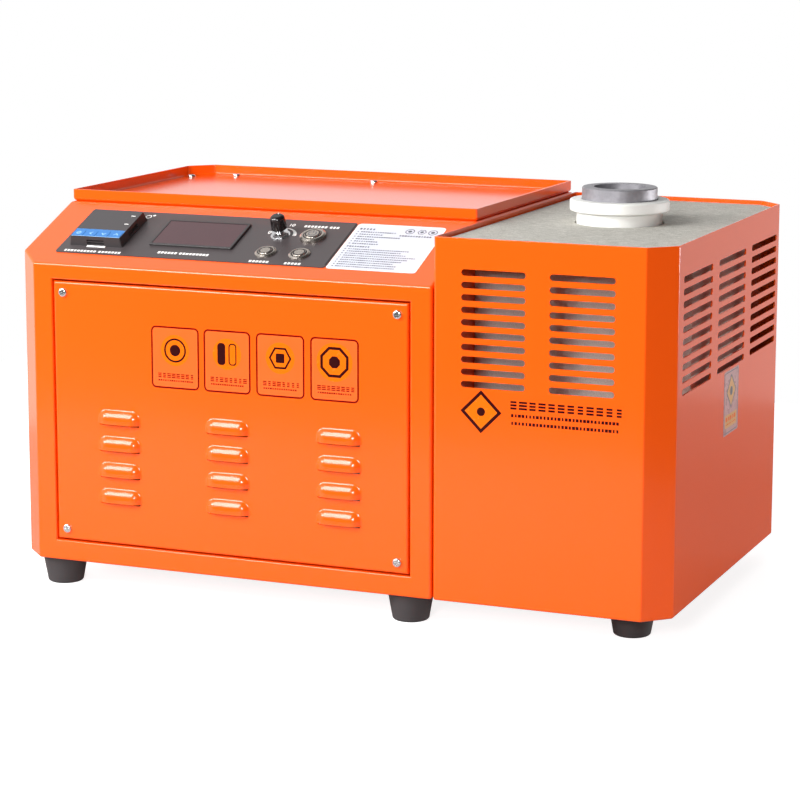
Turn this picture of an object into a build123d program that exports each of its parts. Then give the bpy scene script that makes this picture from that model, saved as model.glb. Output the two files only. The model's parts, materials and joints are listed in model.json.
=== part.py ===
from build123d import *
import math
import os

# An electric melting furnace for gold. The left cabinet holds the power electronics behind a
# sloping control face; the right box holds the induction coil and a lift-out graphite crucible.
# While it is drawn, x = 0 is the cabinet's right wall, y = 0 the front faces and z = 0 the floor.
# save() then moves every piece so that the origin is the middle of the footprint, on the floor.
# All sizes are millimetres.

# Sheet metal
SHEET = 1.5
FOLD = 2.5                 # outside radius of an upright fold
EDGE_FOLD = 2.0            # outside radius along a bottom edge
BEVEL = 21.0               # flat across an upright corner, measured along each wall
FLANGE = 15.0              # bottom flange under the walls
FIT = 0.3                  # gap round a piece that drops into another
TOUCH = 0.05               # running gap of a shaft in its hole

# Cabinet
CABINET_WIDTH = 395.0
CABINET_DEPTH = 357.0
FRONT_HEIGHT = 264.0       # bottom edge to the fold of the sloping face
SLOPE_DEG = 22.0
SLOPE_RISE = 42.0          # from that fold up to the deck
DECK_FOLD = 12.0           # outside radius between the sloping face and the deck

# Furnace box
BOX_GAP = 1.5              # between the two boxes
BOX_WIDTH = 202.5
RIM_ROUND = 0.6

# Feet
FOOT_HEIGHT = 25.0
FOOT_TOP_R = 20.0
FOOT_BOTTOM_R = 15.5
FOOT_ROUND = 2.5
FOOT_INSET = 33.0          # foot centre from the cabinet's left wall
FOOT_INSET_RIGHT = 28.0    # foot centre from the cabinet's right wall
FOOT_INSET_Y = 25.0
BOX_FOOT_X = 44.0          # foot centre from the box's right wall
BOX_FOOT_Y = 51.0

# Service door
DOOR_LEFT = 40.5           # its left edge from the cabinet's left wall
DOOR_RIGHT = 20.8          # its right edge from the cabinet's right wall
DOOR_BOTTOM = 19.7         # its bottom edge from the cabinet's bottom edge
DOOR_TOP = 15.0            # its top edge below the fold
DOOR_DEPTH = 12.0
DOOR_GAP = 1.75
LEDGE = 16.0               # width of the ledge that the door seats on
DOOR_SCREW_INSET = 9.5
LOUVRE_WIDTH = 41.0
LOUVRE_HEIGHT = 12.2
LOUVRE_PROUD = 4.6
LOUVRE_LIP = 0.64          # share of the height below the hood's bend
LOUVRE_END = 5.5           # each end leans in this far
LOUVRE_ROUND = 11.0        # radius of the hood's bend
LOUVRE_ROOT = 2.5          # and of the bend where it leaves the door
LOUVRE_SLIT = 1.4          # the cut in the sheet reaches this far under the lip
LOUVRE_PITCH_X = 104.0
LOUVRE_PITCH_Z = 23.3
LOUVRE_BOTTOM = 37.0       # lowest lip above the door's bottom edge
LOUVRE_COLUMNS = 3
LOUVRE_ROWS = 4
LOUVRE_WALL = 1.2
LOUVRE_MOUTH = 0.4         # the hollow reaches this far under the lower lip

# Tray
TRAY_LIP = 10.5
TRAY_SET_BACK = 4.45       # behind the fold of the deck
TRAY_RIGHT = 2.0           # from the cabinet's right wall
TRAY_BEVEL = 20.0
TRAY_FOLD = 3.0
TRAY_SCREW_INSET = 12.0
TRAY_SCREW_PITCH = 147.0

# Vent slots
SLOT_HEIGHT = 5.4
SLOT_PITCH = 10.25
SLOT_ROWS = 10
SLOT_TOP = 28.2            # top row's centre below the rim
FRONT_SLOT_COLUMNS = 2
FRONT_SLOT_LEFT = 24.3     # first slot's end from the box's left wall
FRONT_SLOT_RIGHT = 46.3    # last slot's end from the box's right wall
FRONT_SLOT_BRIDGE = 20.5   # metal between two slots in a row
SIDE_SLOT_COLUMNS = 3
SIDE_SLOT_FRONT = 34.3
SIDE_SLOT_BACK = 29.7
SIDE_SLOT_BRIDGE = 19.0
SIDE_SLOT_DROP = 0.8       # the side rows sit this much lower

# Heat shields and crucible
CRUCIBLE_R = 32.5
CRUCIBLE_BORE_R = 22.5
CRUCIBLE_HEIGHT = 150.0
CRUCIBLE_FLOOR = 15.0
CRUCIBLE_BORE_ROUND = 6.0
CRUCIBLE_CHAMFER = 0.8
CRUCIBLE_STANDS = 10.6     # above the sleeve
SLEEVE_GAP = 0.7
SLEEVE_WALL = 3.8
SLEEVE_LIP = 6.0           # the flange stands out from the neck by this much
SLEEVE_FLANGE = 10.0       # its thickness
SLEEVE_ROUND = 1.6
SLEEVE_NECK = 10.5         # neck showing above the board
SLEEVE_FLOOR = 8.0
BOARD_RECESS = 3.7         # board top below the rim
BOARD_THICK = 10.0
BOARD_HOLE_GAP = 2.0       # round the sleeve's neck
BOARD_GAP_LEFT = 3.0
LINING = 10.0
LINING_GAP = 8.0           # between the bricks and the front and rear linings
LINING_RIGHT_GAP = 7.5     # between the lining and the slotted wall
BRICK_MARGIN = 5.7         # past the coil's bars
BRICK_COUNT = 3
BRICK_CHAMFER = 2.0
THERMOCOUPLE_R = 3.0
THERMOCOUPLE_GAP = 0.8

# Coil
WRAP_THICK = 8.3           # fibre tube between the sleeve and the coil
WRAP_GAP = 0.4
COIL_TUBE_R = 4.0
COIL_HALF_TURNS = 15       # odd, so that the leads leave on opposite sides
COIL_RISE = 14.0           # lowest turn's middle above the bricks
COIL_DROP = 12.9           # highest turn's middle below the board
COIL_BAR = 10.0
COIL_BAR_WIDTH = 16.0
COIL_BARS = 3
LEAD_GAP = 2.0             # round each lead where it goes through a wall

# Control face; distances up the slope are measured from the fold line
FASCIA_LEFT = 32.0         # from the cabinet's left wall
FASCIA_WIDTH = 258.5
FASCIA_S0 = 20.0
FASCIA_HEIGHT = 78.0
FASCIA_THICK = 0.8
FASCIA_ROUND = 3.0
STICKER_THICK = 0.2
STICKER_GAP = 0.5
STICKER_RIGHT = 22.5       # from the cabinet's right wall
CONTROLLER_X = 34.4        # the controls' places are from the fascia's left edge
CONTROLLER_S = 58.6
CONTROLLER_FACE = 52.0
CONTROLLER_INSET = 2.2     # the housing is this much smaller on each side
CONTROLLER_PROUD = 8.6
CONTROLLER_DEPTH = 70.0
CONTROLLER_DRAFT = 1.5     # each side leans in by this much
CONTROLLER_ROUND = 1.5
NOTCH_WIDTH = 17.0         # latch pockets in the controller's lower and right sides
NOTCH_DEPTH = 2.6
NOTCH_HEIGHT = 4.0
NOTCH_LIFT = 1.6
NOTCH_BAR = 1.0
LENS_RIM = 0.5             # rim left round the lens
KEY_STRIP = 11.6
KEY_COUNT = 4
KEY_WIDTH = 10.2
KEY_HEIGHT = 8.4
KEY_PROUD = 0.25
KEY_THICK = 1.5
KEY_ROUND = 1.0
KEY_TRAVEL = 0.4
KEY_GAP = 0.12
LENS_THICK = 0.6
DISPLAY_X = 123.25
DISPLAY_S = 61.5
DISPLAY_WIDTH = 79.5
DISPLAY_HEIGHT = 44.6
DISPLAY_PROUD = 2.0
DISPLAY_RIM = 2.2
DISPLAY_ROUND = 1.2
DISPLAY_EDGE = 0.5
DISPLAY_BEHIND = 24.0
DISPLAY_INSET = 2.0        # the housing is this much smaller on each side
DISPLAY_POST = 9.0
DISPLAY_POST_R = 2.5
WINDOW_SEAT = 1.5
WINDOW_THICK = 1.5
WINDOW_DROP = 0.3
DIGIT_COUNT = 4
DIGIT_PITCH = 16.0
DIGIT_WIDTH = 14.0
DIGIT_HEIGHT = 25.0
START_X = 195.9
BUTTON_S = 38.9
BUTTON_PITCH = 31.7        # start to stop
POWER_PITCH = 30.4         # stop to power
BUTTON_BEZEL_R = 9.5
BUTTON_BARREL_R = 8.0
BUTTON_CAP_R = 6.0
BUTTON_TRAVEL = 1.5
POWER_BEZEL_R = 11.5
POWER_BARREL_R = 9.5
POWER_CAP_R = 7.2
POWER_TRAVEL = 2.5
BEZEL_PROUD = 2.0
POWER_PROUD = 3.4
CAP_PROUD = 0.6            # above its bezel
BARREL_DEPTH = 26.0
CAP_DEPTH = 8.0
NUT_THICK = 3.0
NUT_OVER = 1.5             # a button's nut reaches this far past its bezel
KNOB_X = 196.6
KNOB_S = 69.6
KNOB_R = 6.9
KNOB_HEIGHT = 13.2
KNOB_TAPER = 0.5
KNOB_ROUND = 3.2
KNOB_FOOT_ROUND = 1.2
KNOB_TOP = 3.0             # solid above the shaft
KNOB_LIFT = 6.4            # its skirt above the fascia
SHAFT_R = 3.0
BUSH_R = 3.5
BUSH_BEHIND = 2.0
POT_R = 8.5
POT_DEPTH = 9.0
POT_NUT_R = 8.0
POT_NUT_THICK = 3.2
POT_WASHER = 0.6

# Fans
FAN_SIZE = 120.0
FAN_DEPTH = 38.0
FAN_WALL = 3.0
FAN_HOLE_INSET = 7.5
FAN_FLANGE = 6.0
FAN_WAIST = 5.5            # wall between the two flanges
FAN_BOSS_R = 7.0
FAN_STRUT = 5.0
FAN_HUB_R = 22.0
FAN_HUB_WALL = 2.5
FAN_BLADE = 1.8
FAN_BLADE_WIDTH = 30.0
FAN_BLADE_DEG = 38.0
FAN_BLADES = 7
FAN_TIP_GAP = 1.5
FAN_SHAFT_R = 2.0
FAN_BEARING = 3.0          # wall of the bearing tube round the shaft
FAN_INSET = 3.0            # the hub's front end inside the frame
CABINET_FAN_X = -180.0     # from the cabinet's right wall
CABINET_FAN_Z = 170.0      # above the bottom edge
BOX_FAN_Z = 150.0
GUARD_WIRE_R = 1.1
GUARD_RINGS = 5
GUARD_PITCH = 10.0
GUARD_FIRST = 1.3          # first ring's radius in pitches
FAN_SCREW_R = 2.0

# Power electronics
INSIDE_GAP = 5.0           # clear of the flanges
PCB_THICK = 1.6
PCB_Y0 = 40.0
STANDOFF = 10.0
STANDOFF_R = 3.5
STANDOFF_INSET = 6.0
PCB_WIDTH = 115.0
DRUM_R = 11.0              # round capacitors on the board
DRUM_HEIGHT = 30.0
RELAY = 24.0
RELAY_HEIGHT = 16.0
PLUG_WIDTH = 18.0
PLUG_HEIGHT = 12.0
PART_PITCH = 42.0
SINK_GAP = 20.0            # between the board and the heat sink
SINK_Y0 = 60.0
SINK_LENGTH = 230.0
SINK_BASE = 8.0
FIN_HEIGHT = 50.0
FIN_COUNT = 13
FIN_THICK = 2.0
MODULE_WIDTH = 92.0
MODULE_DEPTH = 34.0
MODULE_HEIGHT = 24.0
MODULE_PITCH = 70.0
MODULE_START = 45.0        # first one's middle from the heat sink's front end
MODULE_COUNT = 3
STUD_R = 5.0
STUD_HEIGHT = 4.0
CAP_GAP = 15.0             # between the heat sink and the tank capacitors
CAP_RIGHT = 25.0           # from the cabinet's right wall
CAP_ROUND = 4.0
CAP_WIDTH = 85.0
CAP_LENGTH = 50.0
CAP_HEIGHT = 100.0
CAP_COUNT = 3
CAP_PITCH = 54.0
BUS_THICK = 3.0
BUS_WIDTH = 24.0
CHOKE_R = 45.0
CHOKE_HOLE_R = 18.0
CHOKE_HEIGHT = 45.0
CHOKE_ROUND = 6.0
CHOKE_GAP = 12.0           # behind the board
TERMINAL_GAP = 7.0         # behind the choke
TERMINAL_DEPTH = 18.0
TERMINAL_HEIGHT = 20.0
TERMINAL_PITCH = 14.0
TERMINAL_COUNT = 5
TERMINAL_WELL_R = 4.0
TERMINAL_WELL = 6.0
GLAND_INSET = 55.0         # from the cabinet's left wall
GLAND_Z = 60.0             # above the bottom edge
GLAND_INSIDE = 12.0
GLAND_HEX = 5.0
GLAND_BORE_R = 4.5
GLAND_BARREL_R = 8.0
GLAND_NUT_R = 12.5
GLAND_PROUD = 18.0

# Screws
SCREW_R = 2.0
SCREW_HEAD_R = 4.0
SCREW_HEAD = 2.4
SCREW_REACH = 4.0          # past the sheet that a pan screw holds
SCREW_HOLE_GAP = 0.3
CROSS_WIDTH = 1.0
CROSS_DEPTH = 1.4
FOOT_SCREW_R = 2.5
FOOT_SCREW_HEAD_R = 4.5
FOOT_SCREW_PAST = 5.0
JOIN_BOLT_R = 2.5
JOIN_HEAD_R = 4.5
JOIN_HEAD = 3.0
JOIN_NUT = 4.0

# Film on the furnace box's right wall
SIDE_FILM_Y = 161.0
SIDE_FILM_Z = 124.0        # above the bottom edge
SIDE_FILM_WIDTH = 46.0
SIDE_FILM_HEIGHT = 56.0

# Worked out from the above
BASE = FOOT_HEIGHT
FOLD_Z = BASE + FRONT_HEIGHT
DECK_Z = FOLD_Z + SLOPE_RISE
RIM_Z = DECK_Z                     # the two boxes are level
DECK_Y = SLOPE_RISE / math.tan(math.radians(SLOPE_DEG))
TRAY_FRONT_Y = DECK_Y + TRAY_SET_BACK
RIM_TOP = BASE + 2 * SHEET         # what stands on a base pan's raised rim
PAN_TOP = BASE + SHEET             # what stands on a base pan's middle
CABINET_LEFT = -CABINET_WIDTH
BOX_LEFT = BOX_GAP
BOX_RIGHT = BOX_LEFT + BOX_WIDTH
BACK = CABINET_DEPTH
CRUCIBLE_X = (BOX_LEFT + BOX_RIGHT) / 2
CRUCIBLE_Y = BACK / 2
BOARD_TOP = RIM_Z - BOARD_RECESS
BOARD_BOTTOM = BOARD_TOP - BOARD_THICK
SLEEVE_TOP = BOARD_TOP + SLEEVE_NECK + SLEEVE_FLANGE
CRUCIBLE_TOP = SLEEVE_TOP + CRUCIBLE_STANDS
CRUCIBLE_BOTTOM = CRUCIBLE_TOP - CRUCIBLE_HEIGHT
SLEEVE_BOTTOM = CRUCIBLE_BOTTOM - SLEEVE_FLOOR
SLEEVE_NECK_R = CRUCIBLE_R + SLEEVE_GAP + SLEEVE_WALL
SLEEVE_FLANGE_R = SLEEVE_NECK_R + SLEEVE_LIP
WRAP_R = SLEEVE_NECK_R + FIT + WRAP_THICK
COIL_R = WRAP_R + WRAP_GAP + COIL_TUBE_R
COIL_BAR_R = COIL_R + COIL_TUBE_R + FIT
BRICK_HALF = COIL_BAR_R + COIL_BAR + BRICK_MARGIN
LINING_FRONT_Y = CRUCIBLE_Y - BRICK_HALF - LINING_GAP - LINING
LINING_BACK_Y = CRUCIBLE_Y + BRICK_HALF + LINING_GAP + LINING
LINING_LEFT = BOX_LEFT + SHEET + FIT
LINING_RIGHT = BOX_RIGHT - SHEET - LINING_RIGHT_GAP
COIL_BOTTOM = SLEEVE_BOTTOM + COIL_RISE
COIL_TOP = BOARD_BOTTOM - COIL_DROP
DOOR_X0 = CABINET_LEFT + DOOR_LEFT
DOOR_X1 = -DOOR_RIGHT
DOOR_Z0 = BASE + DOOR_BOTTOM
DOOR_Z1 = FOLD_Z - DOOR_TOP
FASCIA_X0 = CABINET_LEFT + FASCIA_LEFT
FASCIA_X1 = FASCIA_X0 + FASCIA_WIDTH
FASCIA_S = FASCIA_S0 + FASCIA_HEIGHT / 2
STOP_X = START_X + BUTTON_PITCH
POWER_S = BUTTON_S + POWER_PITCH
CONTROLLER_BODY = CONTROLLER_FACE - 2 * CONTROLLER_INSET
DISPLAY_BODY_WIDTH = DISPLAY_WIDTH - 2 * DISPLAY_INSET
DISPLAY_BODY_HEIGHT = DISPLAY_HEIGHT - 2 * DISPLAY_INSET
WINDOW_WIDTH = DISPLAY_WIDTH - 2 * DISPLAY_RIM
WINDOW_HEIGHT = DISPLAY_HEIGHT - 2 * DISPLAY_RIM
WINDOW_TOP = FASCIA_THICK + DISPLAY_PROUD - WINDOW_DROP
FAN_BORE_R = FAN_SIZE / 2 - FAN_WALL
FAN_HOLES = FAN_SIZE - 2 * FAN_HOLE_INSET
FAN_SEAT = FAN_STRUT + 1.0         # the rotor's clear height above the wall
GLAND_X = CABINET_LEFT + GLAND_INSET
FAR = 1000.0                       # reaches past the whole object

# Middle of the footprint, over everything that stands out
MIDDLE_X = (CABINET_LEFT + BOX_RIGHT + STICKER_THICK) / 2
MIDDLE_Y = (BACK + GLAND_PROUD - LOUVRE_PROUD) / 2


# ---- Helpers ----

def save(name, shape):
    """Move a piece to the footprint's middle and write its STEP file."""
    placed = Pos(-MIDDLE_X, -MIDDLE_Y, 0) * shape
    solids = placed.solids()
    whole = solids[0] if len(solids) == 1 else Compound(children=list(solids))
    whole.label = name
    export_step(whole, f"parts/{name}.step")


def block(x0, x1, y0, y1, z0, z1):
    """Box between two corners."""
    middle = Pos((x0 + x1) / 2, (y0 + y1) / 2, (z0 + z1) / 2)
    return middle * Box(x1 - x0, y1 - y0, z1 - z0)


def group(pieces):
    """Several separate solids as one shape."""
    solids = []
    for piece in pieces:
        solids.extend(piece.solids())
    return Compound(children=solids)


def rod(radius, z0, z1):
    """Upright cylinder on the Z axis."""
    return Pos(0, 0, (z0 + z1) / 2) * Cylinder(radius, z1 - z0)


def hexagon(radius, z0, z1):
    """Upright hexagonal prism, radius over the corners."""
    return Pos(0, 0, z0) * extrude(RegularPolygon(radius, 6), amount=z1 - z0)


def plate(width, height, z0, z1, corner=0.0):
    """Rectangular plate on the XY plane, its upright corners rounded."""
    shape = RectangleRounded(width, height, corner) if corner else Rectangle(width, height)
    return Pos(0, 0, z0) * extrude(shape, amount=z1 - z0)


def inside(edge, corner0, corner1):
    """Whether an edge lies within the box between two corners."""
    size = edge.bounding_box()
    low = all(a >= b for a, b in zip(size.min, corner0))
    high = all(a <= b for a, b in zip(size.max, corner1))
    return low and high


def slope(x, s, lift=0.0):
    """Place on the sloping face: s up from the fold line, lift out of the sheet; local Z points out."""
    tilt = math.radians(SLOPE_DEG)
    y = s * math.cos(tilt) - lift * math.sin(tilt)
    z = FOLD_Z + s * math.sin(tilt) + lift * math.cos(tilt)
    return Pos(x, y, z) * Rot(SLOPE_DEG, 0, 0)


def front(x, z, y=0.0):
    """Place on a front face; local Z points forward, local Y up."""
    return Pos(x, y, z) * Rot(90, 0, 0)


def rear(x, z, y=BACK):
    """Place on a rear face; local Z points back, local Y up."""
    return Pos(x, y, z) * Rot(0, 0, 180) * Rot(90, 0, 0)


def pan_screw(shank):
    """Cross-head pan screw: head seated on z = 0, shank down."""
    head = rod(SCREW_HEAD_R, 0, SCREW_HEAD)
    head = fillet(head.faces().sort_by(Axis.Z)[-1].edges(), SCREW_HEAD * 0.7)
    length = SCREW_HEAD_R * 1.1
    low = SCREW_HEAD - CROSS_DEPTH
    head -= block(-length / 2, length / 2, -CROSS_WIDTH / 2, CROSS_WIDTH / 2, low, SCREW_HEAD + 1)
    head -= block(-CROSS_WIDTH / 2, CROSS_WIDTH / 2, -length / 2, length / 2, low, SCREW_HEAD + 1)
    return head + rod(SCREW_R, -shank, 0)


# ---- Folded sheet boxes ----

def plan(x0, x1, y0, y1, bevels, cut):
    """Plan outline with the corners named in bevels cut off."""
    corners = (("front_left", x0, y0, 0, cut, cut, 0), ("front_right", x1, y0, -cut, 0, 0, cut),
               ("back_right", x1, y1, 0, -cut, -cut, 0), ("back_left", x0, y1, cut, 0, 0, -cut))
    points = []
    for name, x, y, ax, ay, bx, by in corners:
        if name in bevels:
            points += [(x + ax, y + ay), (x + bx, y + by)]
        else:
            points.append((x, y))
    return make_face(Polyline(*points, close=True))


def folded(face, z0, z1, edge):
    """Outside and inside of a sheet box with folded bottom edges, as two solids."""
    outer = Pos(0, 0, z0) * extrude(face, amount=z1 - z0)
    outer = fillet(outer.faces().sort_by(Axis.Z)[0].edges(), edge)
    hollow = offset(face, amount=-SHEET)
    inner = Pos(0, 0, z0 + SHEET) * extrude(hollow, amount=z1 - z0)
    inner = fillet(inner.faces().sort_by(Axis.Z)[0].edges(), edge - SHEET)
    return outer, inner


def under_slope(inset):
    """Everything below the slope and the deck, as a long prism across the cabinet."""
    points = [(0, -FAR), (FAR, -FAR), (FAR, DECK_Z), (DECK_Y, DECK_Z), (0, FOLD_Z)]
    face = make_face(Polyline(*points, close=True))
    face = fillet([v for v in face.vertices() if abs(v.X - DECK_Y) < 1], DECK_FOLD)
    if inset:
        face = offset(face, amount=-inset)
    return Plane.YZ.offset(-FAR) * extrude(face, amount=2 * FAR)


def round_front(solid):
    """Round the fold between the front face and the slope."""
    edges = [e for e in solid.edges().filter_by(Axis.X) if abs(e.center().Y) < 0.1]
    return fillet(max(edges, key=lambda e: e.center().Z), FOLD)


def cabinet_walls():
    """The cabinet's skin, split where its sheets meet."""
    face = plan(CABINET_LEFT, 0, 0, BACK, ("front_left", "back_left"), BEVEL)
    face = fillet(face.vertices(), FOLD)
    outer, inner = folded(face, BASE, DECK_Z + FOLD, EDGE_FOLD)
    below_sheet = under_slope(SHEET)
    outer = round_front(outer & under_slope(0))
    skin = outer - (inner & below_sheet)
    skin -= block(CABINET_LEFT + FLANGE, -FLANGE, FLANGE, BACK - FLANGE, 0, BASE + EDGE_FOLD)
    low = BASE + EDGE_FOLD
    front_zone = block(-FAR, FAR, -FAR, FOLD, -FAR, FAR) + block(-FAR, FAR, -FAR, FLANGE, -FAR, low)
    behind = below_sheet - front_zone
    panel = skin - behind
    rest = skin & behind
    bevel_x = CABINET_LEFT + BEVEL
    rear_zone = block(bevel_x, FAR, BACK - FOLD, FAR, -FAR, FAR)
    rear_zone += block(bevel_x, FAR, BACK - FLANGE, FAR, -FAR, low)
    back = rest & rear_zone
    rest -= rear_zone
    right_zone = block(-FOLD, FAR, -FAR, FAR, -FAR, FAR) + block(-FLANGE, FAR, -FAR, FAR, -FAR, low)
    return panel, rest - right_zone, rest & right_zone, back


def box_walls():
    """The furnace box's skin: the wrapped walls and the rear panel."""
    face = plan(BOX_LEFT, BOX_RIGHT, 0, BACK, ("front_right", "back_right"), BEVEL)
    face = fillet(face.vertices(), FOLD)
    outer, inner = folded(face, BASE, RIM_Z, EDGE_FOLD)
    skin = outer - inner
    skin -= block(BOX_LEFT + FLANGE, BOX_RIGHT - FLANGE, FLANGE, BACK - FLANGE, 0, BASE + EDGE_FOLD)
    skin = fillet(skin.faces().sort_by(Axis.Z)[-1].edges(), RIM_ROUND)
    rear_zone = block(-FAR, BOX_RIGHT - BEVEL, BACK - FOLD, FAR, -FAR, FAR)
    rear_zone += block(-FAR, BOX_RIGHT - BEVEL, BACK - FLANGE, FAR, -FAR, BASE + EDGE_FOLD)
    return skin - rear_zone, skin & rear_zone


def base_pan(x0, x1, bevels):
    """Joggled base: its middle is flush with the flanges, its rim lies on them."""
    hole = FLANGE + FIT
    middle = block(x0 + hole, x1 - hole, hole, BACK - hole, BASE, BASE + SHEET)
    reach = FOLD
    rim_face = plan(x0 + reach, x1 - reach, reach, BACK - reach, bevels, BEVEL)
    rim = Pos(0, 0, BASE + SHEET) * extrude(rim_face, amount=SHEET)
    step = hole + SHEET
    rim -= block(x0 + step, x1 - step, step, BACK - step, 0, FAR)
    return middle + rim


# ---- Places that several pieces share ----

CABINET_FEET = [(x, y) for x in (CABINET_LEFT + FOOT_INSET, -FOOT_INSET_RIGHT)
                for y in (FOOT_INSET_Y, BACK - FOOT_INSET_Y)]
BOX_FEET = [(BOX_RIGHT - BOX_FOOT_X, y) for y in (BOX_FOOT_Y, BACK - BOX_FOOT_Y)]
DOOR_SCREWS = [(x, z) for x in (DOOR_X0 + DOOR_SCREW_INSET, DOOR_X1 - DOOR_SCREW_INSET)
               for z in (DOOR_Z0 + DOOR_SCREW_INSET, DOOR_Z1 - DOOR_SCREW_INSET)]
TRAY_MIDDLE_X = (CABINET_LEFT - TRAY_RIGHT) / 2
TRAY_SCREWS = [(TRAY_MIDDLE_X + step * TRAY_SCREW_PITCH, y) for step in (-1, 0)
               for y in (TRAY_FRONT_Y + TRAY_SCREW_INSET, BACK - TRAY_SCREW_INSET)]
TRAY_SCREWS.append((TRAY_MIDDLE_X + TRAY_SCREW_PITCH, TRAY_FRONT_Y + TRAY_SCREW_INSET))
TRAY_SCREWS.append((CABINET_LEFT + TRAY_SCREW_INSET, BACK - 3 * TRAY_SCREW_INSET))
FANS = {"cabinet": (CABINET_FAN_X, BASE + CABINET_FAN_Z), "box": (CRUCIBLE_X, BASE + BOX_FAN_Z)}
FAN_CORNERS = [(a * FAN_HOLES / 2, b * FAN_HOLES / 2) for a in (-1, 1) for b in (-1, 1)]
JOIN_BOLTS = [(y, z) for y in (LINING_FRONT_Y / 2, (LINING_BACK_Y + BACK - FAN_DEPTH) / 2)
              for z in (BASE + FRONT_HEIGHT * 0.2, BASE + FRONT_HEIGHT * 0.8)]
LEADS = [(CRUCIBLE_Y - COIL_R, COIL_BOTTOM), (CRUCIBLE_Y + COIL_R, COIL_TOP)]
LEAD_HOLE_R = COIL_TUBE_R + LEAD_GAP
SMALL_BUTTON = (BUTTON_BEZEL_R, BEZEL_PROUD, BUTTON_BARREL_R, BUTTON_CAP_R, BUTTON_TRAVEL)
POWER_BUTTON = (POWER_BEZEL_R, POWER_PROUD, POWER_BARREL_R, POWER_CAP_R, POWER_TRAVEL)
BUTTONS = {"start": (START_X, BUTTON_S, *SMALL_BUTTON), "stop": (STOP_X, BUTTON_S, *SMALL_BUTTON),
           "power": (STOP_X, POWER_S, *POWER_BUTTON)}


def lead_holes():
    """Round cutters for the two coil leads, through every wall they cross."""
    reach = LINING_LEFT + LINING + SHEET
    cutters = []
    for y, z in LEADS:
        cutters.append(Pos(0, y, z) * Rot(0, 90, 0) * Cylinder(LEAD_HOLE_R, 2 * reach))
    return cutters


def join_holes():
    """Cutters for the bolts that hold the two boxes together."""
    reach = BOX_LEFT + 2 * SHEET
    cutters = []
    for y, z in JOIN_BOLTS:
        cutters.append(Pos(0, y, z) * Rot(0, 90, 0) * Cylinder(JOIN_BOLT_R + SCREW_HOLE_GAP, 2 * reach))
    return cutters


def fan_holes(x, z):
    """Cutters for a fan's air way and screws, in the rear wall."""
    cutters = [rear(x, z) * Cylinder(FAN_BORE_R, 6 * SHEET)]
    for a, b in FAN_CORNERS:
        cutters.append(rear(x, z) * Pos(a, b, 0) * Cylinder(FAN_SCREW_R + SCREW_HOLE_GAP, 6 * SHEET))
    return cutters


def slope_holes():
    """Cutters for everything that goes through the sloping face and its fascia."""
    deep = 6 * SHEET
    body = CONTROLLER_BODY + 2 * FIT
    cutters = [slope(FASCIA_X0 + CONTROLLER_X, CONTROLLER_S) * Box(body, body, deep)]
    wide = DISPLAY_BODY_WIDTH + 2 * FIT
    high = DISPLAY_BODY_HEIGHT + 2 * FIT
    cutters.append(slope(FASCIA_X0 + DISPLAY_X, DISPLAY_S) * Box(wide, high, deep))
    for x, s, _, _, barrel, _, _ in BUTTONS.values():
        cutters.append(slope(FASCIA_X0 + x, s) * Cylinder(barrel + FIT, deep))
    cutters.append(slope(FASCIA_X0 + KNOB_X, KNOB_S) * Cylinder(BUSH_R + FIT, deep))
    return cutters


# ---- Cabinet ----

def front_panel(sheet):
    """Front, sloping face and deck in one sheet, with the folded door opening and the cut-outs."""
    x0 = DOOR_X0 - DOOR_GAP
    x1 = DOOR_X1 + DOOR_GAP
    z0 = DOOR_Z0 - DOOR_GAP
    z1 = DOOR_Z1 + DOOR_GAP
    depth = DOOR_DEPTH + SHEET
    sheet += block(x0 - SHEET, x1 + SHEET, SHEET / 2, depth, z0 - SHEET, z1 + SHEET)
    sheet -= block(x0, x1, -SHEET, depth + SHEET, z0, z1)
    lip = [e for e in sheet.edges() if inside(e, (x0 - 0.1, -0.1, z0 - 0.1), (x1 + 0.1, 0.1, z1 + 0.1))]
    sheet = fillet(lip, SHEET * 0.9)
    for cutter in slope_holes():
        sheet -= cutter
    for x, y in TRAY_SCREWS:
        sheet -= Pos(x, y, DECK_Z) * Cylinder(SCREW_R + SCREW_HOLE_GAP, 6 * SHEET)
    return sheet


def door_ledge():
    """Ring behind the opening that the door seats on and screws to."""
    gap = DOOR_GAP
    ring = block(DOOR_X0 - gap, DOOR_X1 + gap, DOOR_DEPTH, DOOR_DEPTH + SHEET, DOOR_Z0 - gap, DOOR_Z1 + gap)
    ring -= block(DOOR_X0 + LEDGE, DOOR_X1 - LEDGE, 0, FAR, DOOR_Z0 + LEDGE, DOOR_Z1 - LEDGE)
    for x, z in DOOR_SCREWS:
        ring -= front(x, z, DOOR_DEPTH) * Cylinder(SCREW_R + SCREW_HOLE_GAP, 6 * SHEET)
    return ring


def half_moon(width, height, corner):
    """Louvre outline: flat lower edge on y = 0, round upper corners."""
    shape = Pos(0, height / 2) * Rectangle(width, height)
    upper = shape.vertices().sort_by(Axis.Y)[-2:]
    return fillet(upper, corner)


def louvre(wall):
    """Louvre's hood, or with a wall its hollow; local Z points out of the door, Y up."""
    wide = LOUVRE_WIDTH - 2 * wall
    tall = LOUVRE_HEIGHT - wall
    low = half_moon(wide, tall, tall * LOUVRE_LIP)
    top = half_moon(wide - 2 * LOUVRE_END, tall * LOUVRE_LIP, tall * LOUVRE_LIP ** 2)
    hood = loft([low, Pos(0, 0, LOUVRE_PROUD - wall) * top])
    rim = [edge for edge in hood.faces().sort_by(Axis.Z)[-1].edges() if edge.center().Y > TOUCH]
    return fillet(rim, LOUVRE_ROUND - wall)


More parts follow.
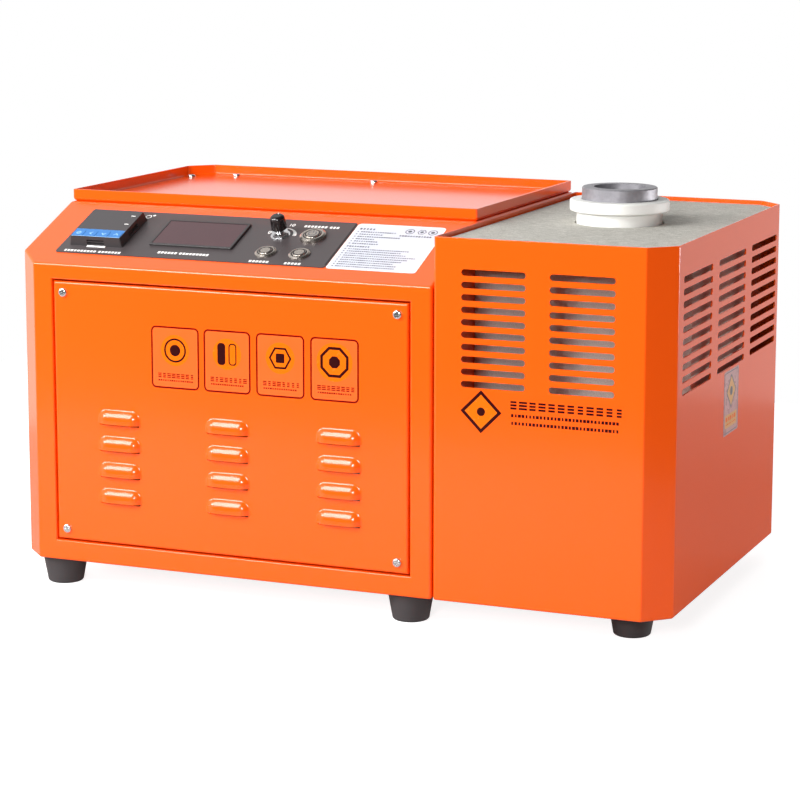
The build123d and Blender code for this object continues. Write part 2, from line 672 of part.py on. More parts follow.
def louvre_hood():
    """The hood on a patch of the sheet, with the bend between them."""
    top = LOUVRE_HEIGHT + 2 * LOUVRE_ROOT
    hood = louvre(0) + block(-LOUVRE_WIDTH, LOUVRE_WIDTH, -2 * LOUVRE_ROOT, top, -SHEET / 2, 0)
    root = [edge for edge in hood.edges().filter_by_position(Axis.Z, -TOUCH, TOUCH)
            if abs(edge.center().X) < LOUVRE_WIDTH * 0.6 and TOUCH < edge.center().Y < top - LOUVRE_ROOT]
    return fillet(root, LOUVRE_ROOT)


def service_door():
    """Door pan with turned edges and pressed louvres."""
    mid_x = (DOOR_X0 + DOOR_X1) / 2
    mid_z = (DOOR_Z0 + DOOR_Z1) / 2
    door = block(DOOR_X0, DOOR_X1, 0, DOOR_DEPTH, DOOR_Z0, DOOR_Z1)
    door = fillet(door.faces().sort_by(Axis.Y)[0].edges(), EDGE_FOLD)
    door -= block(DOOR_X0 + SHEET, DOOR_X1 - SHEET, SHEET, FAR, DOOR_Z0 + SHEET, DOOR_Z1 - SHEET)
    hood = louvre_hood()
    hollow = louvre(LOUVRE_WALL)
    mouth = Pos(0, -LOUVRE_MOUTH, 0) * hollow
    tall = LOUVRE_HEIGHT - LOUVRE_WALL + LOUVRE_SLIT
    cut = half_moon(LOUVRE_WIDTH - 2 * LOUVRE_WALL, tall, tall * LOUVRE_LIP)
    through = Pos(0, -LOUVRE_SLIT, -2 * SHEET) * extrude(cut, amount=2.2 * SHEET)
    for column in range(LOUVRE_COLUMNS):
        x = mid_x + (column - (LOUVRE_COLUMNS - 1) / 2) * LOUVRE_PITCH_X
        for row in range(LOUVRE_ROWS):
            place = front(x, DOOR_Z0 + LOUVRE_BOTTOM + row * LOUVRE_PITCH_Z)
            door += place * hood
            door -= place * mouth
            door -= place * through
    for x, z in DOOR_SCREWS:
        door -= front(x, z) * Cylinder(SCREW_R + SCREW_HOLE_GAP, 6 * SHEET)
    return door


def top_tray():
    """Shallow tool tray on the deck, one rear corner cut off."""
    face = plan(CABINET_LEFT, -TRAY_RIGHT, TRAY_FRONT_Y, BACK, ("back_left",), TRAY_BEVEL)
    face = fillet(face.vertices(), SHEET + 0.3)
    outer, inner = folded(face, DECK_Z, DECK_Z + TRAY_LIP, TRAY_FOLD)
    tray = outer - inner
    for x, y in TRAY_SCREWS:
        tray -= Pos(x, y, DECK_Z) * Cylinder(SCREW_R + SCREW_HOLE_GAP, 6 * SHEET)
    return tray


def pan_head_screws():
    """The door's screws and the tray's."""
    screws = [front(x, z) * pan_screw(DOOR_DEPTH + SCREW_REACH) for x, z in DOOR_SCREWS]
    for x, y in TRAY_SCREWS:
        screws.append(Pos(x, y, DECK_Z + SHEET) * pan_screw(SHEET + SCREW_REACH))
    return group(screws)


# ---- Control face ----

def fascia():
    """Dark cover plate of the controls."""
    place = slope(FASCIA_X0 + FASCIA_WIDTH / 2, FASCIA_S)
    sheet = place * plate(FASCIA_WIDTH, FASCIA_HEIGHT, 0, FASCIA_THICK, FASCIA_ROUND)
    for cutter in slope_holes():
        sheet -= cutter
    return sheet


def rating_sticker():
    """White film beside the fascia."""
    x0 = FASCIA_X1 + STICKER_GAP
    x1 = -STICKER_RIGHT
    return slope((x0 + x1) / 2, FASCIA_S) * plate(x1 - x0, FASCIA_HEIGHT, 0, STICKER_THICK, FASCIA_ROUND)


CONTROLLER_PLACE = slope(FASCIA_X0 + CONTROLLER_X, CONTROLLER_S)
DISPLAY_PLACE = slope(FASCIA_X0 + DISPLAY_X, DISPLAY_S)
KNOB_PLACE = slope(FASCIA_X0 + KNOB_X, KNOB_S)
CASE_TOP = FASCIA_THICK + CONTROLLER_PROUD
LENS_WIDTH = CONTROLLER_FACE - 2 * (CONTROLLER_DRAFT + LENS_RIM)
KEY_ROW = -CONTROLLER_FACE / 2 + CONTROLLER_DRAFT + KEY_STRIP / 2
KEY_PITCH = (CONTROLLER_FACE - 2 * CONTROLLER_DRAFT) / KEY_COUNT
KEY_PLACES = [(KEY_PITCH * (i - (KEY_COUNT - 1) / 2), KEY_ROW) for i in range(KEY_COUNT)]
KEY_TOP = CASE_TOP + KEY_PROUD


def controller_case():
    """Temperature controller: tapered front, housing behind, seats for lens, strip and keys."""
    face = CONTROLLER_FACE
    top = face - 2 * CONTROLLER_DRAFT
    low = Pos(0, 0, FASCIA_THICK) * RectangleRounded(face, face, CONTROLLER_ROUND)
    high = Pos(0, 0, CASE_TOP) * RectangleRounded(top, top, CONTROLLER_ROUND)
    case = loft([low, high])
    case += plate(CONTROLLER_BODY, CONTROLLER_BODY, -CONTROLLER_DEPTH, FASCIA_THICK)
    case -= plate(LENS_WIDTH, LENS_WIDTH, CASE_TOP - LENS_THICK, CASE_TOP + 1)
    for x, y in KEY_PLACES:
        well = plate(KEY_WIDTH + 2 * KEY_GAP, KEY_HEIGHT + 2 * KEY_GAP,
                     KEY_TOP - KEY_THICK - KEY_TRAVEL - KEY_GAP, CASE_TOP + 1)
        case -= Pos(x, y) * well
    low = FASCIA_THICK + NOTCH_LIFT
    bar_low = low + (NOTCH_HEIGHT - NOTCH_BAR) / 2
    half = NOTCH_WIDTH / 2
    deep = -face / 2 + NOTCH_DEPTH
    notch = block(-half, half, -face, deep, low, low + NOTCH_HEIGHT)
    bar = block(-half, half, deep - NOTCH_DEPTH / 2, deep, bar_low, bar_low + NOTCH_BAR)
    for turn in (0, 90):
        case -= Rot(0, 0, turn) * notch
        case += Rot(0, 0, turn) * bar
    return CONTROLLER_PLACE * case


def controller_lens():
    """Smoked lens over the controller's digits."""
    lens = plate(LENS_WIDTH, LENS_WIDTH, CASE_TOP - LENS_THICK, CASE_TOP)
    lens -= block(-FAR, FAR, -FAR, KEY_ROW + KEY_STRIP / 2, -FAR, FAR)
    return CONTROLLER_PLACE * lens


def key_strip():
    """Blue strip round the keys."""
    strip = plate(LENS_WIDTH, LENS_WIDTH, CASE_TOP - LENS_THICK, CASE_TOP)
    strip &= block(-FAR, FAR, -FAR, KEY_ROW + KEY_STRIP / 2, -FAR, FAR)
    for x, y in KEY_PLACES:
        strip -= Pos(x, y) * plate(KEY_WIDTH + 2 * KEY_GAP, KEY_HEIGHT + 2 * KEY_GAP, 0, CASE_TOP + 1)
    return CONTROLLER_PLACE * strip


def controller_key(place):
    """One key cap."""
    key = plate(KEY_WIDTH, KEY_HEIGHT, KEY_TOP - KEY_THICK, KEY_TOP, KEY_ROUND)
    return CONTROLLER_PLACE * Pos(*place) * key


def display_bezel():
    """Display frame with its housing behind the panel."""
    top = FASCIA_THICK + DISPLAY_PROUD
    frame = plate(DISPLAY_WIDTH, DISPLAY_HEIGHT, FASCIA_THICK, top, DISPLAY_ROUND)
    frame = fillet(frame.faces().sort_by(Axis.Z)[-1].edges(), DISPLAY_EDGE)
    frame += plate(DISPLAY_BODY_WIDTH, DISPLAY_BODY_HEIGHT, -DISPLAY_BEHIND, FASCIA_THICK)
    frame -= plate(WINDOW_WIDTH, WINDOW_HEIGHT, WINDOW_TOP - WINDOW_THICK, top + 1)
    wide = WINDOW_WIDTH - 2 * WINDOW_SEAT
    high = WINDOW_HEIGHT - 2 * WINDOW_SEAT
    frame -= plate(wide, high, SHEET - DISPLAY_BEHIND, top + 1)
    return DISPLAY_PLACE * frame


def display_window():
    """Dark red window seated in the frame."""
    wide = WINDOW_WIDTH - 2 * TOUCH
    high = WINDOW_HEIGHT - 2 * TOUCH
    return DISPLAY_PLACE * plate(wide, high, WINDOW_TOP - WINDOW_THICK, WINDOW_TOP)


def display_board():
    """Circuit board with four digit blocks, standing on the housing's floor."""
    floor = SHEET - DISPLAY_BEHIND
    low = floor + DISPLAY_POST
    wide = WINDOW_WIDTH - 2 * (WINDOW_SEAT + FIT)
    high = WINDOW_HEIGHT - 2 * (WINDOW_SEAT + FIT)
    board = plate(wide, high, low, low + PCB_THICK)
    post = rod(DISPLAY_POST_R, floor, low)
    inset = 1.6 * DISPLAY_POST_R
    for a in (-1, 1):
        for b in (-1, 1):
            board += Pos(a * (wide / 2 - inset), b * (high / 2 - inset)) * post
    digit = plate(DIGIT_WIDTH, DIGIT_HEIGHT, low + PCB_THICK, WINDOW_TOP - WINDOW_THICK - FIT)
    for i in range(DIGIT_COUNT):
        board += Pos(DIGIT_PITCH * (i - (DIGIT_COUNT - 1) / 2), 0) * digit
    return DISPLAY_PLACE * board


def button_bezel(kind):
    """Fixed body of a metal push button."""
    x, s, bezel, proud, barrel, cap, travel = BUTTONS[kind]
    top = FASCIA_THICK + proud
    body = rod(bezel, FASCIA_THICK, top)
    body = chamfer(body.faces().sort_by(Axis.Z)[-1].edges(), BEZEL_PROUD * 0.5, BEZEL_PROUD * 0.8)
    body += rod(barrel, -BARREL_DEPTH, FASCIA_THICK)
    body -= rod(cap + TOUCH * 2, top + CAP_PROUD - CAP_DEPTH - travel - FIT, top + 1)
    return slope(FASCIA_X0 + x, s) * body


def button_cap(kind):
    """Moving cap of a push button."""
    x, s, _, proud, _, cap, _ = BUTTONS[kind]
    top = FASCIA_THICK + proud + CAP_PROUD
    piece = rod(cap, top - CAP_DEPTH, top)
    piece = fillet(piece.faces().sort_by(Axis.Z)[-1].edges(), CAP_PROUD * 0.8)
    return slope(FASCIA_X0 + x, s) * piece


def panel_nuts():
    """Nuts that clamp the buttons behind the sheet, and the potentiometer's on its washer in front."""
    nuts = [pot_nut()]
    for x, s, bezel, _, barrel, _, _ in BUTTONS.values():
        nut = hexagon(bezel + NUT_OVER, -SHEET - NUT_THICK, -SHEET) - rod(barrel, -BARREL_DEPTH, 0)
        nuts.append(slope(FASCIA_X0 + x, s) * nut)
    return group(nuts)


def potentiometer():
    """Potentiometer can with its threaded bush through the panel."""
    body = rod(POT_R, -SHEET - POT_DEPTH, -SHEET)
    body += rod(BUSH_R, -SHEET, FASCIA_THICK + POT_NUT_THICK + POT_WASHER)
    body -= rod(SHAFT_R + TOUCH, -SHEET - BUSH_BEHIND - FIT, KNOB_HEIGHT)
    return KNOB_PLACE * body


def pot_nut():
    """Washer and hexagon nut under the knob."""
    nut = hexagon(POT_NUT_R, FASCIA_THICK + POT_WASHER, FASCIA_THICK + POT_NUT_THICK)
    nut += rod(POT_NUT_R + POT_WASHER, FASCIA_THICK, FASCIA_THICK + POT_WASHER)
    nut -= rod(BUSH_R, 0, KNOB_HEIGHT)
    return KNOB_PLACE * nut


def pot_shaft():
    """Shaft that the knob is pushed on."""
    top = FASCIA_THICK + KNOB_LIFT + KNOB_HEIGHT - KNOB_TOP
    return KNOB_PLACE * rod(SHAFT_R, -SHEET - BUSH_BEHIND, top)


def knob():
    """Turning knob, slightly tapered, with a pointer groove in its top."""
    low = FASCIA_THICK + KNOB_LIFT
    high = low + KNOB_HEIGHT
    body = Pos(0, 0, (low + high) / 2) * Cone(KNOB_R, KNOB_R - KNOB_TAPER, KNOB_HEIGHT)
    body = fillet(body.faces().sort_by(Axis.Z)[-1].edges(), KNOB_ROUND)
    body = fillet(body.faces().sort_by(Axis.Z)[0].edges(), KNOB_FOOT_ROUND)
    body -= rod(SHAFT_R, low - 1, high - KNOB_TOP)
    groove = KNOB_TAPER
    body -= block(-groove, groove, KNOB_TOP / 3, KNOB_R + 1, high - groove, high + 1)
    return KNOB_PLACE * body


# ---- Inside the cabinet ----

PCB_X0 = CABINET_LEFT + FLANGE + INSIDE_GAP
TERMINAL_Y1 = BACK - FLANGE - INSIDE_GAP
CHOKE_X = PCB_X0 + PCB_WIDTH / 2
CHOKE_Y = TERMINAL_Y1 - TERMINAL_DEPTH - TERMINAL_GAP - CHOKE_R
PCB_Y1 = CHOKE_Y - CHOKE_R - CHOKE_GAP
CAP_X1 = -CAP_RIGHT
SINK_X0 = PCB_X0 + PCB_WIDTH + SINK_GAP
SINK_X1 = CAP_X1 - CAP_WIDTH - CAP_GAP
SINK_TOP = PAN_TOP + FIN_HEIGHT + SINK_BASE
CAP_Y0 = (LEADS[0][0] + LEADS[1][0]) / 2 - (CAP_COUNT - 1) / 2 * CAP_PITCH - CAP_LENGTH / 2


def control_board():
    """Main circuit board with its larger parts, on its posts."""
    low = PAN_TOP + STANDOFF
    top = low + PCB_THICK
    x1 = PCB_X0 + PCB_WIDTH
    board = block(PCB_X0, x1, PCB_Y0, PCB_Y1, low, top)
    half = RELAY / 2
    for i in range(3):
        y = PCB_Y0 + 2 * DRUM_R + i * PART_PITCH
        board += Pos(PCB_X0 + 2.5 * DRUM_R, y) * rod(DRUM_R, top, top + DRUM_HEIGHT)
        middle = (PCB_X0 + x1) / 2
        board += block(middle - half, middle + half, y - half, y + half, top, top + RELAY_HEIGHT)
    plug_x = x1 - STANDOFF_INSET
    plug_y0 = PCB_Y0 + PLUG_WIDTH
    plug_y1 = PCB_Y1 - PLUG_WIDTH
    board += block(plug_x - PLUG_WIDTH, plug_x, plug_y0, plug_y1, top, top + PLUG_HEIGHT)
    for x in (PCB_X0 + STANDOFF_INSET, x1 - STANDOFF_INSET):
        for y in (PCB_Y0 + STANDOFF_INSET, (PCB_Y0 + PCB_Y1) / 2, PCB_Y1 - STANDOFF_INSET):
            board += Pos(x, y) * hexagon(STANDOFF_R, PAN_TOP, low)
    return board


def heat_sink():
    """Finned heat sink, fins down, along the air flow."""
    y1 = SINK_Y0 + SINK_LENGTH
    sink = block(SINK_X0, SINK_X1, SINK_Y0, y1, SINK_TOP - SINK_BASE, SINK_TOP)
    step = (SINK_X1 - SINK_X0 - FIN_THICK) / (FIN_COUNT - 1)
    for i in range(FIN_COUNT):
        x = SINK_X0 + i * step
        sink += block(x, x + FIN_THICK, SINK_Y0, y1, PAN_TOP, PAN_TOP + FIN_HEIGHT)
    return sink


def power_modules():
    """Transistor modules and the rectifier in a row on the heat sink."""
    middle = (SINK_X0 + SINK_X1) / 2
    half_x = MODULE_WIDTH / 2
    half_y = MODULE_DEPTH / 2
    top = SINK_TOP + MODULE_HEIGHT
    pieces = []
    for i in range(MODULE_COUNT):
        y = SINK_Y0 + MODULE_START + i * MODULE_PITCH
        body = block(middle - half_x, middle + half_x, y - half_y, y + half_y, SINK_TOP, top)
        for a in (-1, 0, 1):
            body += Pos(middle + a * half_x * 0.6, y) * rod(STUD_R, top, top + STUD_HEIGHT)
        pieces.append(body)
    return group(pieces)


def capacitor_bank():
    """Tank capacitors in a row beside the coil leads."""
    pieces = []
    for i in range(CAP_COUNT):
        y = CAP_Y0 + i * CAP_PITCH
        body = block(CAP_X1 - CAP_WIDTH, CAP_X1, y, y + CAP_LENGTH, PAN_TOP, PAN_TOP + CAP_HEIGHT)
        pieces.append(fillet(body.edges().filter_by(Axis.Z), CAP_ROUND))
    return group(pieces)


def bus_bars():
    """Two copper bars from the capacitors up to the coil leads."""
    bars = []
    for y, z in LEADS:
        bars.append(block(CAP_X1, CAP_X1 + BUS_THICK, y - BUS_WIDTH / 2, y + BUS_WIDTH / 2,
                          PAN_TOP + CAP_HEIGHT * 0.7, z + BUS_WIDTH / 2))
    return group(bars)


def choke():
    """Ring-core choke lying on the base."""
    ring = rod(CHOKE_R, PAN_TOP, PAN_TOP + CHOKE_HEIGHT) - rod(CHOKE_HOLE_R, 0, FAR)
    ring = fillet(ring.edges().filter_by(GeomType.CIRCLE), CHOKE_ROUND)
    return Pos(CHOKE_X, CHOKE_Y) * ring


def terminal_block():
    """Mains terminal strip near the cable gland."""
    x0 = GLAND_X - GLAND_BARREL_R
    x1 = x0 + TERMINAL_COUNT * TERMINAL_PITCH
    top = PAN_TOP + TERMINAL_HEIGHT
    strip = block(x0, x1, TERMINAL_Y1 - TERMINAL_DEPTH, TERMINAL_Y1, PAN_TOP, top)
    for i in range(TERMINAL_COUNT):
        x = x0 + (i + 0.5) * TERMINAL_PITCH
        strip -= Pos(x, TERMINAL_Y1 - TERMINAL_DEPTH / 2) * rod(TERMINAL_WELL_R, top - TERMINAL_WELL, FAR)
    return strip


def cable_gland():
    """Gland in the rear wall with its locknut; the bore takes the mains cable."""
    low = -SHEET - GLAND_INSIDE
    body = rod(GLAND_BARREL_R, low, 0) + hexagon(GLAND_NUT_R, 0, GLAND_HEX)
    middle = (GLAND_HEX + GLAND_PROUD) / 2
    body += Pos(0, 0, middle) * Cone(GLAND_NUT_R * 0.8, GLAND_NUT_R * 0.6, GLAND_PROUD - GLAND_HEX)
    body -= rod(GLAND_BORE_R, low - 1, GLAND_PROUD + 1)
    nut = hexagon(GLAND_NUT_R, -SHEET - GLAND_HEX, -SHEET) - rod(GLAND_BARREL_R, low, 0)
    place = rear(GLAND_X, BASE + GLAND_Z)
    return group([place * body, place * nut])


# ---- Fans ----

def fan_frame(x, z):
    """Square fan housing against the rear wall, with motor seat and struts."""
    face = -SHEET
    back = face - FAN_DEPTH
    body = plate(FAN_SIZE, FAN_SIZE, back, face, FAN_FLANGE)
    body -= rod(FAN_BORE_R, back - 1, face + 1)
    wide = FAN_SIZE + 2
    waist = plate(wide, wide, back + FAN_FLANGE, face - FAN_FLANGE)
    waist -= rod(FAN_BORE_R + FAN_WAIST - FAN_WALL, back, face)
    for a, b in FAN_CORNERS:
        waist -= Pos(a, b) * rod(FAN_BOSS_R, back, face)
    body -= waist
    for a, b in FAN_CORNERS:
        body -= Pos(a, b) * rod(FAN_SCREW_R + SCREW_HOLE_GAP, back - 1, face + 1)
    seat = rod(FAN_HUB_R, face - FAN_STRUT, face)
    half = FAN_STRUT / 2
    arm = block(-half, half, FAN_HUB_R - 1, FAN_BORE_R + 1, face - FAN_STRUT, face)
    for turn in range(4):
        seat += Rot(0, 0, 45 + 90 * turn) * arm
    seat += rod(FAN_SHAFT_R + FAN_BEARING, face - 2.8 * FAN_STRUT, face - FAN_STRUT)
    seat -= rod(FAN_SHAFT_R + TOUCH, back, face - 0.6 * FAN_STRUT)
    return rear(x, z) * (body + seat)


def fan_rotor(x, z):
    """Cup-shaped hub with swept blades and its shaft."""
    face = -SHEET - FAN_SEAT
    low = -SHEET - FAN_DEPTH + FAN_INSET
    hub = rod(FAN_HUB_R, low, face) - rod(FAN_HUB_R - FAN_HUB_WALL, low + FAN_INSET, face + 1)
    hub += rod(FAN_SHAFT_R, low + 1, -SHEET - 0.6 * FAN_STRUT - FIT)
    reach = FAN_BORE_R - FAN_TIP_GAP
    blade = Pos((FAN_HUB_R + reach - 1) / 2, 0, (low + face) / 2) * Rot(FAN_BLADE_DEG, 0, 0)
    blade = blade * Box(reach - FAN_HUB_R + 1, FAN_BLADE_WIDTH, FAN_BLADE)
    blade &= rod(reach, low + 1, face - 1)
    for i in range(FAN_BLADES):
        hub += Rot(0, 0, i * 360 / FAN_BLADES) * blade
    return rear(x, z) * hub


def fan_guards():
    """Round wire guards outside the rear wall, one for each fan."""
    guards = []
    for x, z in FANS.values():
        strut_z = GUARD_WIRE_R + TOUCH
        ring_z = strut_z + 1.6 * GUARD_WIRE_R
        guard = None
        for i in range(GUARD_RINGS):
            ring = Pos(0, 0, ring_z) * Torus(GUARD_PITCH * (i + GUARD_FIRST), GUARD_WIRE_R)
            guard = ring if guard is None else guard + ring
        reach = FAN_HOLES / 2 * math.sqrt(2)
        eye_r = FAN_SCREW_R + 2 * GUARD_WIRE_R
        length = reach - eye_r - GUARD_PITCH
        wire = Pos(GUARD_PITCH + length / 2, 0, strut_z) * Rot(0, 90, 0) * Cylinder(GUARD_WIRE_R, length)
        eye = Pos(reach, 0, strut_z) * Torus(eye_r, GUARD_WIRE_R)
        for turn in range(4):
            guard += Rot(0, 0, 45 + 90 * turn) * (wire + eye)
        guards.append(rear(x, z) * guard)
    return group(guards)


def fan_screws():
    """Long screws through guard, wall and fan frame, with their nuts."""
    screws = []
    seat = 2 * GUARD_WIRE_R + 2 * TOUCH
    end = -SHEET - FAN_DEPTH
    screw = Pos(0, 0, seat) * pan_screw(seat - end + SCREW_REACH + 1)
    screw += hexagon(SCREW_HEAD_R, end - SCREW_REACH + 1, end)
    for x, z in FANS.values():
        for a, b in FAN_CORNERS:
            screws.append(rear(x, z) * Pos(a, b) * screw)
    return group(screws)


# ---- Furnace box ----

def slot_row(span, ends, bridge, count):
    """Middles of the slots in one row along a wall, and their length."""
    length = (span - sum(ends) - (count - 1) * bridge) / count
    return [ends[0] + length / 2 + i * (length + bridge) for i in range(count)], length


def furnace_shell(walls):
    """Wrapped walls of the furnace box with their vent slots."""
    thick = 4 * SHEET
    ends = (FRONT_SLOT_LEFT, FRONT_SLOT_RIGHT)
    middles, length = slot_row(BOX_WIDTH, ends, FRONT_SLOT_BRIDGE, FRONT_SLOT_COLUMNS)
    slot = Pos(0, 0, -thick / 2) * extrude(SlotOverall(length, SLOT_HEIGHT), amount=thick)
    for x in middles:
        for row in range(SLOT_ROWS):
            walls -= front(BOX_LEFT + x, RIM_Z - SLOT_TOP - row * SLOT_PITCH) * slot
    ends = (SIDE_SLOT_FRONT, SIDE_SLOT_BACK)
    middles, length = slot_row(BACK, ends, SIDE_SLOT_BRIDGE, SIDE_SLOT_COLUMNS)
    slot = Pos(0, 0, -thick / 2) * extrude(SlotOverall(length, SLOT_HEIGHT), amount=thick)
    for y in middles:
        for row in range(SLOT_ROWS):
            z = RIM_Z - SLOT_TOP - SIDE_SLOT_DROP - row * SLOT_PITCH
            walls -= Pos(BOX_RIGHT, y, z) * Rot(0, 0, 90) * Rot(90, 0, 0) * slot
    return walls


def top_board():
    """Grey fibre-cement board inside the rim, with the crucible's hole."""
    x0 = BOX_LEFT + SHEET + BOARD_GAP_LEFT
    x1 = BOX_RIGHT - SHEET - FIT
    y0 = SHEET + FIT
    y1 = BACK - SHEET - FIT
    outline = plan(x0, x1, y0, y1, ("front_right", "back_right"), BEVEL)
    board = Pos(0, 0, BOARD_BOTTOM) * extrude(outline, amount=BOARD_THICK)
    return board - Pos(CRUCIBLE_X, CRUCIBLE_Y) * rod(SLEEVE_NECK_R + BOARD_HOLE_GAP, 0, FAR)


def lining_boards():
    """Four upright boards round the coil, from the base to the top board."""
    inner_y0 = LINING_FRONT_Y + LINING
    inner_y1 = LINING_BACK_Y - LINING
    spans = ((LINING_LEFT, LINING_RIGHT, LINING_FRONT_Y, inner_y0),
             (LINING_LEFT, LINING_RIGHT, inner_y1, LINING_BACK_Y),
             (LINING_LEFT, LINING_LEFT + LINING, inner_y0, inner_y1),
             (LINING_RIGHT - LINING, LINING_RIGHT, inner_y0, inner_y1))
    boards = [block(*span, RIM_TOP, BOARD_BOTTOM) for span in spans]
    boards[2] = cut(boards[2], lead_holes())
    return group(boards)


def fire_bricks():
    """Stack of bricks under the crucible, bored for the thermocouple."""
    tall = (SLEEVE_BOTTOM - PAN_TOP) / BRICK_COUNT
    half = BRICK_HALF
    bricks = []
    for i in range(BRICK_COUNT):
        brick = block(-half, half, -half, half, PAN_TOP + i * tall, PAN_TOP + (i + 1) * tall)
        brick = chamfer(brick.edges().filter_by(Axis.Z), BRICK_CHAMFER)
        brick -= rod(THERMOCOUPLE_R + THERMOCOUPLE_GAP, 0, FAR)
        bricks.append(Pos(CRUCIBLE_X, CRUCIBLE_Y) * brick)
    return group(bricks)


def thermocouple():
    """Sheathed probe from below, its tip close under the crucible."""
    return Pos(CRUCIBLE_X, CRUCIBLE_Y) * rod(THERMOCOUPLE_R, PAN_TOP, CRUCIBLE_BOTTOM - FIT)


def crucible_sleeve():
    """White ceramic sleeve: flange, neck and floor."""
    sleeve = rod(SLEEVE_NECK_R, SLEEVE_BOTTOM, SLEEVE_TOP - SLEEVE_FLANGE / 2)
    flange = rod(SLEEVE_FLANGE_R, SLEEVE_TOP - SLEEVE_FLANGE, SLEEVE_TOP)
    sleeve += fillet(flange.edges().filter_by(GeomType.CIRCLE), SLEEVE_ROUND)
    sleeve -= rod(CRUCIBLE_R + SLEEVE_GAP, CRUCIBLE_BOTTOM, FAR)
    sleeve -= rod(THERMOCOUPLE_R + THERMOCOUPLE_GAP, 0, FAR)
    return Pos(CRUCIBLE_X, CRUCIBLE_Y) * sleeve


def crucible():
    """Machined graphite crucible."""
    body = rod(CRUCIBLE_R, CRUCIBLE_BOTTOM, CRUCIBLE_TOP)
    body = chamfer(body.edges().filter_by(GeomType.CIRCLE), CRUCIBLE_CHAMFER)
    bore = rod(CRUCIBLE_BORE_R, CRUCIBLE_BOTTOM + CRUCIBLE_FLOOR, CRUCIBLE_TOP + 1)
    bore = fillet(bore.faces().sort_by(Axis.Z)[0].edges(), CRUCIBLE_BORE_ROUND)
    return Pos(CRUCIBLE_X, CRUCIBLE_Y) * (body - bore)


def insulating_wrap():
    """Fibre tube between the sleeve and the coil."""
    wrap = rod(WRAP_R, SLEEVE_BOTTOM, BOARD_BOTTOM)
    return Pos(CRUCIBLE_X, CRUCIBLE_Y) * (wrap - rod(SLEEVE_NECK_R + FIT, 0, FAR))


def induction_coil():
    """Copper tube wound round the wrap, its straight leads reaching the bus bars."""
    end = CAP_X1 + BUS_THICK + TOUCH - CRUCIBLE_X
    rise = (COIL_TOP - COIL_BOTTOM) / COIL_HALF_TURNS
    path = [Line((end, -COIL_R, COIL_BOTTOM), (0, -COIL_R, COIL_BOTTOM))]
    for i in range(COIL_HALF_TURNS):
        side = 1 if i % 2 == 0 else -1
        z = COIL_BOTTOM + i * rise
        start = (0, -side * COIL_R, z)
        middle = (side * COIL_R, 0, z + rise / 2)
        path.append(ThreePointArc(start, middle, (0, side * COIL_R, z + rise)))
    path.append(Line((0, COIL_R, COIL_TOP), (end, COIL_R, COIL_TOP)))
    section = Plane(origin=(end, -COIL_R, COIL_BOTTOM), z_dir=(1, 0, 0)) * Circle(COIL_TUBE_R)
    wire = Wire(path)
    coil = sweep(section, path=wire)
    print("coil volume share of section times length", coil.volume / (section.area * wire.length))
    return Pos(CRUCIBLE_X, CRUCIBLE_Y) * coil


def coil_bars():
    """Upright insulating bars that the coil's turns lean on."""
    half = COIL_BAR_WIDTH / 2
    bar = block(COIL_BAR_R, COIL_BAR_R + COIL_BAR, -half, half, SLEEVE_BOTTOM, BOARD_BOTTOM)
    bars = []
    for i in range(COIL_BARS):
        bars.append(Pos(CRUCIBLE_X, CRUCIBLE_Y) * Rot(0, 0, (i + 0.5) * 360 / COIL_BARS) * bar)
    return group(bars)


def side_sticker():
    """Film on the furnace box's right wall."""
    y1 = SIDE_FILM_Y + SIDE_FILM_WIDTH
    z0 = BASE + SIDE_FILM_Z
    return block(BOX_RIGHT, BOX_RIGHT + STICKER_THICK, SIDE_FILM_Y, y1, z0, z0 + SIDE_FILM_HEIGHT)


# ---- Feet and screws ----

def foot():
    """Tapered rubber foot with a counterbore for its screw."""
    body = Pos(0, 0, FOOT_HEIGHT / 2) * Cone(FOOT_BOTTOM_R, FOOT_TOP_R, FOOT_HEIGHT)
    body = fillet(body.faces().sort_by(Axis.Z)[0].edges(), FOOT_ROUND)
    body -= rod(FOOT_SCREW_HEAD_R + NUT_OVER, -1, FOOT_HEIGHT / 2)
    return body - rod(FOOT_SCREW_R + SCREW_HOLE_GAP, 0, FAR)


def foot_screw():
    """Screw up through a foot and the base, with its nut."""
    seat = FOOT_HEIGHT / 2
    screw = rod(FOOT_SCREW_HEAD_R, seat - NUT_THICK, seat)
    screw += rod(FOOT_SCREW_R, seat, PAN_TOP + FOOT_SCREW_PAST)
    return screw + hexagon(FOOT_SCREW_HEAD_R, PAN_TOP, PAN_TOP + NUT_THICK)


def joining_bolts():
    """Bolts between the two boxes, each with a spacer in the gap."""
    bolts = []
    for y, z in JOIN_BOLTS:
        seat = BOX_LEFT + SHEET
        bolt = rod(JOIN_BOLT_R, -SHEET - 1.5 * JOIN_NUT, seat)
        bolt += rod(JOIN_HEAD_R, seat, seat + JOIN_HEAD)
        bolt += rod(JOIN_HEAD_R, 0, BOX_LEFT)
        bolt += hexagon(JOIN_HEAD_R, -SHEET - JOIN_NUT, -SHEET)
        bolts.append(Pos(0, y, z) * Rot(0, 90, 0) * bolt)
    return group(bolts)


def cut(shape, cutters):
    """Take each cutter out of a shape."""
    for cutter in cutters:
        shape -= cutter
    return shape


def foot_holes(places):
    """Cutters for the foot screws, through the base."""
    return [Pos(x, y, BASE) * Cylinder(FOOT_SCREW_R + SCREW_HOLE_GAP, 8 * SHEET) for x, y in places]


# ---- Build and write ----

os.makedirs("parts", exist_ok=True)

